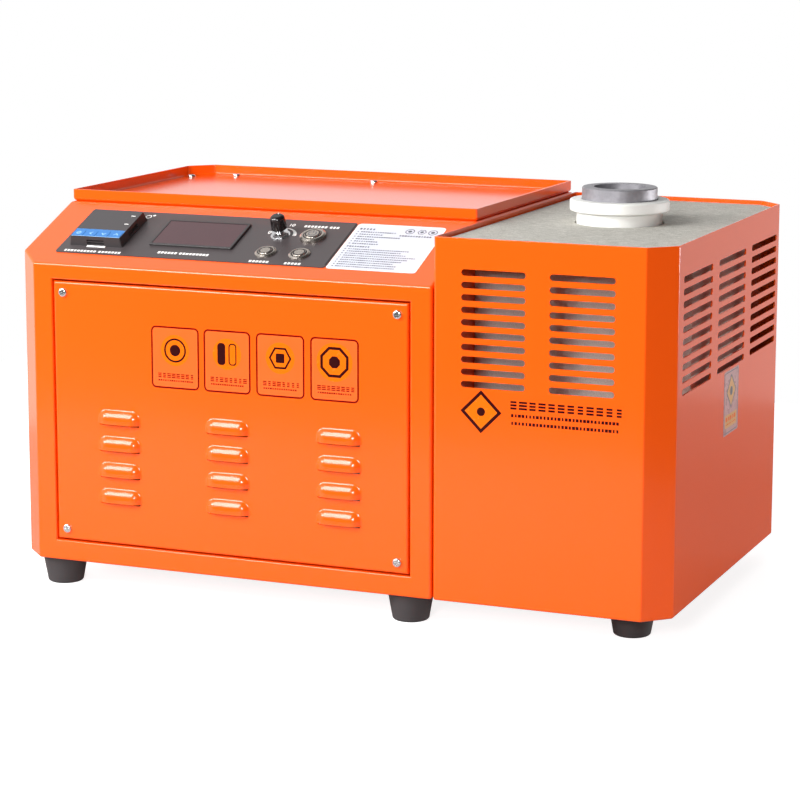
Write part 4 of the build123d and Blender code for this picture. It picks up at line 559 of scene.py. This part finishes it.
def rounded(x0, x1, y0, y1, corner):
    """Rectangle with round corners."""
    points = []
    for i, (x, y) in enumerate(((x1 - corner, y1 - corner), (x0 + corner, y1 - corner),
                                (x0 + corner, y0 + corner), (x1 - corner, y0 + corner))):
        for step in range(ROUND_STEPS):
            angle = math.pi / 2 * (i + step / (ROUND_STEPS - 1))
            points.append((x + corner * math.cos(angle), y + corner * math.sin(angle)))
    return points


def framed(x0, x1, y0, y1, corner, line):
    """Round rectangle drawn as a line of its own width."""
    return [rounded(x0, x1, y0, y1, corner),
            rounded(x0 + line, x1 - line, y0 + line, y1 - line, corner - line)]


def arc_band(x, y, radius, start, end, widths, steps):
    """Band along an arc, whose width goes evenly from its first value to its second."""
    points = []
    for side in (1, -1):
        for i in range(steps + 1):
            share = i / steps if side == 1 else 1 - i / steps
            angle = start + share * (end - start)
            reach = radius + side * (widths[0] + share * (widths[1] - widths[0])) / 2
            points.append((x + reach * math.cos(angle), y + reach * math.sin(angle)))
    return points


def bars(x0, y0, widths, height):
    """Row of short bars in place of a word; widths are each bar's and the gap after it."""
    shapes = []
    x = x0
    for width, gap in widths:
        shapes.append(rounded(x, x + width, y0, y0 + height, height * 0.2))
        x += width + gap
    return shapes


# %% Turn outlines into a thin piece
PRINT_THICK = 0.04
BLOCK_THICK = 0.03
LINE_THICK = 0.02
NUMERAL_SWELL = 0.12


def tidy(mesh):
    """Join doubled points and make every face point outwards."""
    work = bmesh.new()
    work.from_mesh(mesh)
    bmesh.ops.remove_doubles(work, verts=work.verts, dist=1e-7)
    bmesh.ops.recalc_face_normals(work, faces=work.faces)
    work.to_mesh(mesh)
    work.free()


def finished(source, place, name, material, body):
    """Plain mesh piece from a curve, text or modified object, laid on a surface."""
    seen_now = bpy.context.evaluated_depsgraph_get()
    mesh = bpy.data.meshes.new_from_object(source.evaluated_get(seen_now))
    bpy.data.objects.remove(source)
    tidy(mesh)
    mesh.transform(place)
    mesh.name = name
    mesh.materials.clear()
    mesh.materials.append(material)
    piece = bpy.data.objects.new(name, mesh)
    bpy.context.scene.collection.objects.link(piece)
    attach(piece, body)
    return piece


def flat(name, outlines, place, low, high, material, body="furnace"):
    """Filled outlines between two heights above a surface, in millimetres."""
    curve = bpy.data.curves.new(name, "CURVE")
    curve.dimensions = "2D"
    curve.fill_mode = "BOTH"
    curve.extrude = (high - low) / 2 * MM
    for points in outlines:
        spline = curve.splines.new("POLY")
        spline.points.add(len(points) - 1)
        for point, (x, y) in zip(spline.points, points):
            point.co = (x * MM, y * MM, 0, 1)
        spline.use_cyclic_u = True
    source = bpy.data.objects.new(name + "_curve", curve)
    bpy.context.scene.collection.objects.link(source)
    lifted = place @ Matrix.Translation((0, 0, (low + high) / 2 * MM))
    return finished(source, lifted, name, material, body)


def words(name, text, size, place, material):
    """Numerals of a given height, centred on the place."""
    letters = bpy.data.curves.new(name, "FONT")
    letters.body = text
    letters.size = size * MM
    letters.align_x = "CENTER"
    letters.align_y = "CENTER"
    letters.extrude = PRINT_THICK / 2 * MM
    letters.offset = NUMERAL_SWELL * MM
    source = bpy.data.objects.new(name + "_text", letters)
    bpy.context.scene.collection.objects.link(source)
    lifted = place @ Matrix.Translation((0, 0, PRINT_THICK / 2 * MM))
    finished(source, lifted, name, material, "furnace")


# %% [markdown]
# ### Lines of small print
#
# Where a label carries many lines of text, the part has lines of plain marks of the same size.
# They repeat by a rule, so Geometry Nodes make them: a grid of points, cut off where each line
# ends, with a small bar on every point. The bars differ in width by a random number whose seed
# is fixed. The tree's inputs are the sizes, so one tree serves every label.

# %% Tree for lines of marks
NARROWEST_BAR = 0.45
WIDEST_BAR = 0.86


def marks_tree():
    """Geometry Nodes tree: rows of bars of random width, each row of random length."""
    tree = bpy.data.node_groups.new("lines_of_marks", "GeometryNodeTree")
    face = tree.interface
    face.new_socket("Geometry", in_out="OUTPUT", socket_type="NodeSocketGeometry")
    sizes = ("Line length", "Shortest line", "Word pitch", "Row pitch", "Bar height", "Thickness")
    for size in sizes:
        face.new_socket(size, in_out="INPUT", socket_type="NodeSocketFloat")
    face.new_socket("Words", in_out="INPUT", socket_type="NodeSocketInt")
    face.new_socket("Rows", in_out="INPUT", socket_type="NodeSocketInt")
    face.new_socket("Seed", in_out="INPUT", socket_type="NodeSocketInt")
    face.new_socket("Ink", in_out="INPUT", socket_type="NodeSocketMaterial")
    given = add(tree, "NodeGroupInput").outputs
    step = add(tree, "ShaderNodeCombineXYZ", {"X": given["Word pitch"]})
    line = add(tree, "GeometryNodeMeshLine", {"Count": given["Words"], "Offset": step.outputs[0]})
    down = add(tree, "ShaderNodeMath", {0: given["Row pitch"], 1: -1.0}, operation="MULTIPLY")
    drop = add(tree, "ShaderNodeCombineXYZ", {"Y": down.outputs[0]})
    column = add(tree, "GeometryNodeMeshLine", {"Count": given["Rows"], "Offset": drop.outputs[0]})
    rows = add(tree, "GeometryNodeInstanceOnPoints", {"Points": column.outputs[0],
                                                      "Instance": line.outputs[0]})
    points = add(tree, "GeometryNodeRealizeInstances", {0: rows.outputs[0]})
    spot = add(tree, "ShaderNodeSeparateXYZ", {0: add(tree, "GeometryNodeInputPosition").outputs[0]})
    row = add(tree, "ShaderNodeMath", {0: spot.outputs["Y"], 1: given["Row pitch"]}, operation="DIVIDE")
    number = add(tree, "ShaderNodeMath", {0: row.outputs[0]}, operation="ROUND")
    whole = add(tree, "FunctionNodeFloatToInt", {0: number.outputs[0]})
    end = add(tree, "FunctionNodeRandomValue", {2: given["Shortest line"], 3: given["Line length"],
                                                "ID": whole.outputs[0], "Seed": given["Seed"]},
              data_type="FLOAT")
    past = add(tree, "FunctionNodeCompare", {0: spot.outputs["X"], 1: end.outputs[1]},
               operation="GREATER_THAN")
    kept = add(tree, "GeometryNodeDeleteGeometry", {0: points.outputs[0], 1: past.outputs[0]})
    cube_size = add(tree, "ShaderNodeCombineXYZ", {"X": given["Word pitch"], "Y": given["Bar height"],
                                                   "Z": given["Thickness"]})
    cube = add(tree, "GeometryNodeMeshCube", {"Size": cube_size.outputs[0]})
    share = add(tree, "FunctionNodeRandomValue", {2: NARROWEST_BAR, 3: WIDEST_BAR,
                                                  "Seed": given["Seed"]}, data_type="FLOAT")
    scale = add(tree, "ShaderNodeCombineXYZ", {"X": share.outputs[1], "Y": 1.0, "Z": 1.0})
    bars_on = add(tree, "GeometryNodeInstanceOnPoints", {"Points": kept.outputs[0],
                                                         "Instance": cube.outputs[0],
                                                         "Scale": scale.outputs[0]})
    real = add(tree, "GeometryNodeRealizeInstances", {0: bars_on.outputs[0]})
    inked = add(tree, "GeometryNodeSetMaterial", {"Geometry": real.outputs[0], "Material": given["Ink"]})
    add(tree, "NodeGroupOutput", {0: inked.outputs[0]})
    return tree


MARKS = marks_tree()


def small_print(name, place, at, line, pitch, height, seed, ink, rows=1, lift=0.0):
    """Lines of marks from a first mark's middle; line is the longest and the shortest line,
    pitch the step along a line and down to the next."""
    holder = bpy.data.objects.new(name + "_rows", bpy.data.meshes.new(name + "_rows"))
    bpy.context.scene.collection.objects.link(holder)
    modifier = holder.modifiers.new("marks", "NODES")
    modifier.node_group = MARKS
    values = {"Line length": line[0] * MM, "Shortest line": line[1] * MM, "Word pitch": pitch[0] * MM,
              "Row pitch": pitch[1] * MM, "Bar height": height * MM, "Thickness": PRINT_THICK * MM,
              "Words": int(line[0] / pitch[0]) + 1, "Rows": rows, "Seed": seed, "Ink": ink}
    for socket in MARKS.interface.items_tree:
        if socket.in_out == "INPUT":
            modifier[socket.identifier] = values[socket.name]
    shifted = place @ Matrix.Translation((at[0] * MM, at[1] * MM, (lift + PRINT_THICK / 2) * MM))
    finished(holder, shifted, name, ink, "furnace")


print("inputs of the tree", len(MARKS.interface.items_tree) - 1)

# %% [markdown]
# ### Labels on the service door
#
# Four small films sit side by side on the door. Each is a clear film with a dark red border, and
# holds a plain geometric figure. Under it come a line of broad marks, three thin rows high, and a
# line of fine ones. The film lifts the orange a little towards pink, and a round amber patch lies
# behind each figure.

# %% Door labels
LABEL_TOP = 196.3
LABEL_BOTTOM = 142.3
LABEL_SPANS = ((95.1, 140.8), (145.3, 189.4), (194.7, 239.6), (245.0, 289.4))
LABEL_CORNER = 4.5
LABEL_LINE = 1.45
FIGURE_DROP = 20.5
PATCH_R = 13.5
LAST_PATCH_R = 16.5
FILM_THICK = 0.08
WORD_ROWS = 3
WORD_ROW_PITCH = 1.5


def label_figure(number, x, y):
    """Outlines of one label's figure: rings, two pills, or a hexagon or octagon with a middle."""
    if number == 0:
        return rings(x, y, (10.5, 8.9, 5.0))
    if number == 1:
        return [rounded(x - 9, x - 1.5, y - 9.5, y + 9.5, 3.0),
                rounded(x + 1.5, x + 9, y - 9.5, y + 9.5, 3.0),
                rounded(x + 2.6, x + 7.9, y - 8.4, y + 8.4, 2.2)]
    if number == 2:
        return rings(x, y, (10.5, 8.6), 6) + [rounded(x - 4, x + 4, y - 4, y + 4, 1.2)]
    return rings(x, y, (14.0, 11.4, 5.4), 8)


label_films = []
label_frames = []
label_patches = []
label_figures = []
figure_y = LABEL_TOP - FIGURE_DROP
for number, (x0, x1) in enumerate(LABEL_SPANS):
    middle = (x0 + x1) / 2
    wide = x1 - x0
    label_films.append(rounded(x0, x1, LABEL_BOTTOM, LABEL_TOP, LABEL_CORNER))
    label_frames += framed(x0, x1, LABEL_BOTTOM, LABEL_TOP, LABEL_CORNER, LABEL_LINE)
    label_patches.append(ring_points(middle, figure_y, LAST_PATCH_R if number == 3 else PATCH_R))
    label_figures += label_figure(number, middle, figure_y)
    for row in range(WORD_ROWS):
        spot = (x0 + 8.0, LABEL_BOTTOM + 12.8 - WORD_ROW_PITCH * row)
        small_print(f"door_label_words_{number + 1}_{row}", DOOR, spot, line=(wide - 13.0, wide - 14.0),
                    pitch=(4.4, 4.0), height=0.9, seed=11 + number, ink=red_ink, lift=FILM_THICK)
    small_print(f"door_label_lines_{number + 1}", DOOR, (x0 + 7.4, LABEL_BOTTOM + 7.0),
                line=(wide - 12.0, wide - 14.0), pitch=(2.1, 3.0), height=1.3, seed=21 + number,
                ink=red_ink, lift=FILM_THICK)
FILM_PRINT_TOP = FILM_THICK + PRINT_THICK
flat("door_label_films", label_films, DOOR, 0.0, FILM_THICK, rose_film)
flat("door_label_borders", label_frames, DOOR, FILM_THICK, FILM_PRINT_TOP, red_ink)
flat("door_label_patches", label_patches, DOOR, FILM_THICK, FILM_THICK + PRINT_THICK / 2, amber_film)
flat("door_label_figures", label_figures, DOOR, FILM_THICK, FILM_PRINT_TOP, black_ink)
print("door labels", len(LABEL_SPANS))

# %% [markdown]
# ### Mark on the furnace box
#
# A dark outline with an amber middle stands on its corner beside a line of broad marks, three
# thin rows high, and two lines of fine ones. It is printed straight on the coat, so it has no
# film.

# %% Box mark
MARK_X = 42.2
MARK_Y = 163.5
MARK_R = 18.0
MARK_LINE = 3.8
MARK_CENTRE_R = 3.6
LINES_X = 67.0
LINES_TOP = 173.6
BOX_ROW_PITCH = 2.6
mark = rings(MARK_X, MARK_Y, (MARK_R, MARK_R - MARK_LINE), 4)


def on_point(outlines, x, y):
    """The same outlines turned by an eighth, so that a square stands on its corner."""
    cosine = math.cos(math.pi / 4)
    turned = []
    for points in outlines:
        turned.append([(x + (a - x - b + y) * cosine, y + (a - x + b - y) * cosine) for a, b in points])
    return turned


flat("box_mark_outline", on_point(mark, MARK_X, MARK_Y), BOX_FRONT, 0.0, PRINT_THICK, black_ink)
flat("box_mark_middle", on_point(mark[1:], MARK_X, MARK_Y), BOX_FRONT, 0.0, PRINT_THICK, amber_film)
flat("box_mark_centre", [ring_points(MARK_X, MARK_Y, MARK_CENTRE_R)], BOX_FRONT, PRINT_THICK,
     2 * PRINT_THICK, black_ink)
for row in range(WORD_ROWS):
    small_print(f"box_mark_words_{row}", BOX_FRONT, (LINES_X + 3.5, LINES_TOP - BOX_ROW_PITCH * row),
                line=(98.0, 97.0), pitch=(8.2, 8.0), height=1.7, seed=5, ink=black_ink)
small_print("box_mark_lines", BOX_FRONT, (LINES_X + 2.5, 162.4), line=(97.0, 86.0), pitch=(3.1, 6.4),
            height=2.6, seed=9, ink=black_ink, rows=2)
print("box mark's half diagonal in mm", MARK_R)

# %% [markdown]
# ### Sticker on the sloping face and film on the right wall
#
# The white sticker carries two blocks of very small lines, each with a short heading over it and
# a dot before every line, and three round or six-sided marks in its upper right corner. The film
# on the wall has a pale amber figure over a pale amber block, and a thin dark border.

# %% White sticker
STICKER_CORNER = 4.0
STICKER_EDGE = 1.2
STAMPS = ((51.0, 48), (62.0, 6), (72.0, 48))
STAMP_DROP = 9.5


def sticker_print(name, x, drop, line, pitch, height, seed, rows=1):
    """Lines of marks on the sticker, whose first mark is a drop below the top edge."""
    small_print(f"sticker_{name}", STICKER, (x, STICKER_LENGTH - drop), line, pitch, height, seed,
                grey_ink, rows)


sticker_print("heading_upper", 5.5, 9.0, line=(14.0, 13.5), pitch=(3.0, 2.0), height=2.6, seed=31)
sticker_print("lines_upper", 8.0, 14.0, line=(42.0, 16.0), pitch=(2.2, 4.1), height=1.7, seed=32, rows=6)
sticker_print("dots_upper", 4.6, 14.0, line=(0.5, 0.4), pitch=(2.0, 4.1), height=1.2, seed=36, rows=6)
sticker_print("heading_lower", 5.0, 39.5, line=(22.0, 21.0), pitch=(2.4, 2.0), height=2.0, seed=33)
sticker_print("lines_lower", 8.0, 44.0, line=(66.0, 44.0), pitch=(2.0, 3.7), height=1.5, seed=34, rows=9)
sticker_print("dots_lower", 4.6, 44.0, line=(0.5, 0.4), pitch=(2.0, 3.7), height=1.2, seed=37, rows=9)
flat("sticker_edge", framed(0, STICKER_WIDTH, 0, STICKER_LENGTH, STICKER_CORNER, STICKER_EDGE), STICKER,
     0.0, LINE_THICK, white_ink)
stamps = []
for x, sides in STAMPS:
    stamps += rings(x, STICKER_LENGTH - STAMP_DROP, (4.2, 3.4, 1.8), sides)
flat("sticker_stamps", stamps, STICKER, 0.0, PRINT_THICK, grey_ink)
sticker_print("numbers", 45.0, 17.5, line=(30.0, 29.0), pitch=(2.5, 2.0), height=2.2, seed=35)
print("sticker in mm", round(STICKER_WIDTH, 1), "by", round(STICKER_LENGTH, 1))

# %% Film on the right wall
WALL_FILM_THICK = 0.12
WALL_PRINT_TOP = WALL_FILM_THICK + PRINT_THICK
WALL_BLOCK_TOP = WALL_FILM_THICK + BLOCK_THICK
BORDER_INSET = 1.4
BORDER_CORNER = 3.0
BORDER_LINE = 0.7
side_film = flat("wall_film", [rounded(0, SIDE_WIDTH, 0, SIDE_HEIGHT, 2.0)], SIDE, 0.0, WALL_FILM_THICK,
                 silver_film_painted_rose)
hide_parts("side_sticker")
border = framed(BORDER_INSET, SIDE_WIDTH - BORDER_INSET, BORDER_INSET, SIDE_HEIGHT - BORDER_INSET,
                BORDER_CORNER, BORDER_LINE)
flat("wall_film_border", border, SIDE, WALL_FILM_THICK, WALL_PRINT_TOP, grey_ink)
wall_x = SIDE_WIDTH / 2
wall_y = SIDE_HEIGHT * 0.66
wall_figure = on_point(rings(wall_x, wall_y, (15.0, 13.0), 4), wall_x, wall_y)
flat("wall_film_figure", wall_figure, SIDE, WALL_FILM_THICK, WALL_PRINT_TOP, grey_ink)
flat("wall_film_amber", wall_figure[1:], SIDE, WALL_FILM_THICK, WALL_PRINT_TOP, amber_pale)
flat("wall_film_centre", [ring_points(wall_x, wall_y, 4.0)], SIDE, WALL_PRINT_TOP,
     WALL_PRINT_TOP + BLOCK_THICK, grey_ink)
flat("wall_film_block", [rounded(5.0, SIDE_WIDTH - 5.0, 6.0, 17.5, 1.0)], SIDE, WALL_FILM_THICK,
     WALL_BLOCK_TOP, amber_pale)
small_print("wall_film_words", SIDE, (9.0, 13.6), line=(SIDE_WIDTH - 15.0, SIDE_WIDTH - 16.0),
            pitch=(6.4, 5.0), height=3.6, seed=41, ink=amber_film, lift=WALL_BLOCK_TOP)
small_print("wall_film_lines", SIDE, (8.5, 9.0), line=(SIDE_WIDTH - 14.0, SIDE_WIDTH - 16.0),
            pitch=(4.0, 3.0), height=1.0, seed=42, ink=amber_film, lift=WALL_BLOCK_TOP)
print("film in mm", round(SIDE_WIDTH, 1), "by", round(SIDE_HEIGHT, 1))

# %% [markdown]
# ### Marks on the control face
#
# White bars stand where a maker would print the names of the controls. The dial by the knob has
# a crescent that widens clockwise, and the plain numerals 0 and 10 stand beside it. The keys of
# the controller carry plain signs, and those signs ride on the keys, because the keys move.

# %% Legends
def fascia_xy(node):
    """Middle of a control on the control face, in the face's own millimetres."""
    low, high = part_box(node)
    local = FASCIA.inverted() @ ((low + high) / 2)
    return local.x / MM, local.y / MM


controller_xy = fascia_xy("controller_lens")
display_xy = fascia_xy("display_window")
start_xy = fascia_xy("start_button_bezel")
stop_xy = fascia_xy("stop_button_bezel")
power_xy = fascia_xy("power_button_bezel")
LETTER = ((2.3, 0.9),)
BREAK = ((2.3, 2.6),)
legends = bars(controller_xy[0] - 26.5, 2.0, LETTER * 9 + BREAK + LETTER * 7, 3.2)
legends += bars(display_xy[0] - 26.0, 7.0, LETTER * 5 + BREAK + LETTER * 9, 3.6)
legends += bars(start_xy[0] - 9.0, 1.6, LETTER * 6, 3.4)
legends += bars(stop_xy[0] - 7.6, 1.4, LETTER * 5, 3.4)
legends += bars(power_xy[0] - 15.8, 65.8, LETTER * 6 + BREAK + LETTER * 3, 3.6)
flat("panel_legends", legends, FASCIA, 0.0, PRINT_THICK, white_ink)
# A near black line along the film's right edge is a painted shadow of that edge.
edge = rounded(FASCIA_WIDTH - 1.7, FASCIA_WIDTH - 0.2, 4.0, FASCIA_LENGTH - 4.0, 0.2)
flat("fascia_edge_shadow", [edge], FASCIA, 0.0, PRINT_THICK, gap_shade)
print("bars", len(legends))

# %% Dial by the knob
DIAL_R = 12.6
DIAL_START = math.radians(3.0)
DIAL_END = math.radians(86.0)
DIAL_THICK = 3.6
DIAL_THIN = 0.5
DIAL_STEPS = 24
NUMERAL_SIZE = 6.0
NUMERALS = (("0", 163, 12.6), ("10", 80, 18.6))
dial_x, dial_y = fascia_xy("potentiometer_shaft")
crescent = arc_band(dial_x, dial_y, DIAL_R, DIAL_START, DIAL_END, (DIAL_THICK, DIAL_THIN), DIAL_STEPS)
flat("dial_crescent", [crescent], FASCIA, 0.0, PRINT_THICK, white_ink)
for text, degrees, reach in NUMERALS:
    x = dial_x + reach * math.cos(math.radians(degrees))
    y = dial_y + reach * math.sin(math.radians(degrees))
    words(f"dial_number_{text}", text, NUMERAL_SIZE, FASCIA @ Matrix.Translation((x * MM, y * MM, 0)),
          white_ink)
print("dial's middle in mm", round(dial_x, 1), round(dial_y, 1))

# %% Signs on the controller
KEY_BODIES = ("key_1", "key_2", "key_3", "key_4")
SIGN = 2.3


def key_sign(number):
    """Outlines of a key's sign round the key's middle: ring, left, down and up arrow."""
    if number == 1:
        return rings(0, 0, (SIGN, SIGN * 0.62, SIGN * 0.3))
    arrow = [(-SIGN, 0.0), (SIGN * 0.5, SIGN * 1.1), (SIGN * 0.5, SIGN * 0.6), (-SIGN * 0.2, 0.0),
             (SIGN * 0.5, -SIGN * 0.6), (SIGN * 0.5, -SIGN * 1.1)]
    angle = {2: 0.0, 3: math.pi / 2, 4: -math.pi / 2}[number]
    return [[(x * math.cos(angle) - y * math.sin(angle), x * math.sin(angle) + y * math.cos(angle))
             for x, y in arrow]]


def top_of(node):
    """Place on a control's outer face, at its middle, facing out of the slope."""
    low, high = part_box(node)
    middle = (low + high) / 2
    reach = max(SLOPE_OUT.dot(v.co - middle) for v in NODES[node].data.vertices)
    return surface(middle + SLOPE_OUT * reach, RIGHT, SLOPE_UP)


def half_length(node):
    """Half of a flat control's length up the slope, in millimetres."""
    low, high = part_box(node)
    middle = (low + high) / 2
    return max(abs(SLOPE_UP.dot(v.co - middle)) for v in NODES[node].data.vertices) / MM


for number, body in enumerate(KEY_BODIES, 1):
    flat(f"key_sign_{number}", key_sign(number), top_of(f"controller_key_{number}"), 0.0, PRINT_THICK,
         pale_blue_ink, body)
print("key signs", len(KEY_BODIES))

# %% [markdown]
# A blue band along the lens's lower edge joins it to the key strip, whose own lower edge is a
# pale line. Two short white marks are printed on the lens, and a ring with a dot above it.

# %% Bands and marks on the controller
BAND = 1.8
LIGHT_EDGE = 0.7
SIDE_MARK_X = 59.0
SIDE_MARK_Y = 69.5
lens_top = top_of("controller_lens")
lens_half = half_length("controller_lens")
strip_half = half_length("controller_key_strip")
strip_low, strip_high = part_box("controller_key_strip")
strip_wide = (strip_high.x - strip_low.x) / 2 / MM
blue_band = rounded(-strip_wide, strip_wide, -lens_half, -lens_half + BAND, 0.1)
light_edge = rounded(-strip_wide, strip_wide, -strip_half, -strip_half + LIGHT_EDGE, 0.1)
flat("controller_blue_band", [blue_band], lens_top, 0.0, PRINT_THICK, blue_skin)
flat("controller_light_edge", [light_edge], top_of("controller_key_strip"), 0.0, PRINT_THICK,
     pale_blue_ink)
flat("lens_marks", [rounded(16.8, 20.8, 9.2, 10.4, 0.3), rounded(16.8, 20.8, -5.4, -4.2, 0.3)],
     lens_top, 0.0, PRINT_THICK, white_ink)
side_mark = rings(SIDE_MARK_X, SIDE_MARK_Y, (3.0, 2.1))
side_mark.append(ring_points(SIDE_MARK_X + 4.6, SIDE_MARK_Y + 2.6, 1.3))
flat("controller_side_mark", side_mark, FASCIA, 0.0, PRINT_THICK, white_ink)
print("strip in mm", round(2 * strip_wide, 1), "by", round(2 * strip_half, 1))

# %% [markdown]
# ### Buttons and knob
#
# The power button's cap carries a ring with a short bar through its top, which is the usual sign
# for power. Each cap has a dark ring near its rim, which is painted shade in a groove, and a dark
# ring on the bezel round it is painted shade in the narrow gap between the two. The rings on a
# cap ride on the cap. The knob has a short white line on its top, so that its setting can be read.

# %% Button and knob details
SIGN_TURN = math.radians(35)
SIGN_R = 3.4
SIGN_LINE = 0.7
SIGN_STEPS = 32
POINTER_SUNK = 0.45
sign_start = math.pi / 2 + SIGN_TURN
sign_end = sign_start + 2 * (math.pi - SIGN_TURN)
arc = arc_band(0, 0, SIGN_R, sign_start, sign_end, (SIGN_LINE, SIGN_LINE), SIGN_STEPS)
flat("power_sign", [arc, rounded(-SIGN_LINE / 2, SIGN_LINE / 2, 0.8, 4.2, 0.15)],
     top_of("power_button_cap"), 0.0, BLOCK_THICK, grey_ink, "power_cap")
# Near each cap's rim a dark ring is painted shade in a groove; on the bezel, painted shade in the gap.
for kind in ("start", "stop", "power"):
    cap_low, cap_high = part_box(f"{kind}_button_cap")
    cap_r = (cap_high.x - cap_low.x) / 2 / MM
    flat(f"{kind}_groove_shade", rings(0, 0, (cap_r - 0.5, cap_r - 1.6)), top_of(f"{kind}_button_cap"), 0.0,
         LINE_THICK, gap_shade, f"{kind}_cap")
    flat(f"{kind}_shadow_gap", rings(0, 0, (cap_r + 1.1, cap_r + 0.1)), top_of(f"{kind}_button_bezel"),
         0.0, LINE_THICK, gap_shade)
    print(kind, "cap's radius in mm", round(cap_r, 2))
flat("knob_pointer", [rounded(-0.4, 0.4, 2.4, 4.4, 0.3)], top_of("power_knob"), -POINTER_SUNK,
     LINE_THICK, white_ink, "knob")

# %% [markdown]
# A white latch holds the controller from below, and its end shows as a low white bar under the
# controller's front.

# %% Latch
LATCH_LEFT = 8.2
LATCH_RIGHT = 9.8
LATCH_LOW = 10.6
LATCH_HIGH = 13.0
LATCH_PROUD = 0.6
latch_x = controller_xy[0]
latch = rounded(latch_x - LATCH_LEFT, latch_x + LATCH_RIGHT, LATCH_LOW, LATCH_HIGH, 0.3)
flat("controller_latch", [latch], FASCIA, 0.0, LATCH_PROUD, white_ink)
print("latch in mm", LATCH_LEFT + LATCH_RIGHT, "by", round(LATCH_HIGH - LATCH_LOW, 1))

# %% [markdown]
# ### Weld beads in the tray
#
# The tray's lips are folded up, and where one corner is cut off they are welded. Under the coat
# each weld shows as a low bead, about a millimetre and a half wide. A bead is a short tube, half
# buried in the corner, that swells and shrinks a little along its length. It has the coat's finish.

# %% Weld beads
tray_low, tray_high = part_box("top_tray")
TRAY_SHEET = 1.5 * MM
TRAY_CUT = 20.0 * MM
BEAD_R = 0.75 * MM
BEAD_POINTS = 9
BEAD_RIPPLE = 0.15
RIPPLE_TURN = 2.6


def bead(name, start, end):
    """Round bead between two points, whose radius ripples along it."""
    curve = bpy.data.curves.new(name, "CURVE")
    curve.dimensions = "3D"
    curve.bevel_depth = BEAD_R
    curve.bevel_resolution = 3
    curve.use_fill_caps = True
    spline = curve.splines.new("POLY")
    spline.points.add(BEAD_POINTS - 1)
    for i, point in enumerate(spline.points):
        share = i / (BEAD_POINTS - 1)
        point.co = (*start.lerp(end, share), 1)
        point.radius = 1 - BEAD_RIPPLE + BEAD_RIPPLE * math.cos(i * RIPPLE_TURN)
    source = bpy.data.objects.new(name + "_curve", curve)
    bpy.context.scene.collection.objects.link(source)
    finished(source, Matrix.Identity(4), name, powder, "furnace")


inner_left = tray_low.x + TRAY_SHEET
inner_back = tray_high.y - TRAY_SHEET
rise = Vector((0, 0, tray_high.z - tray_low.z - 1.2 * TRAY_SHEET))
foot_z = tray_low.z + TRAY_SHEET
# Inside the sheet the slanting lip meets the straight ones a little nearer to the corner.
CUT_INSIDE = TRAY_CUT - TRAY_SHEET * (2 - math.sqrt(2))
for name, x, y in (("bead_left", inner_left, inner_back - CUT_INSIDE),
                   ("bead_back", inner_left + CUT_INSIDE, inner_back)):
    start = Vector((x, y, foot_z))
    bead(name, start, start + rise)
print("beads in mm", round(rise.z / MM, 1), "high")
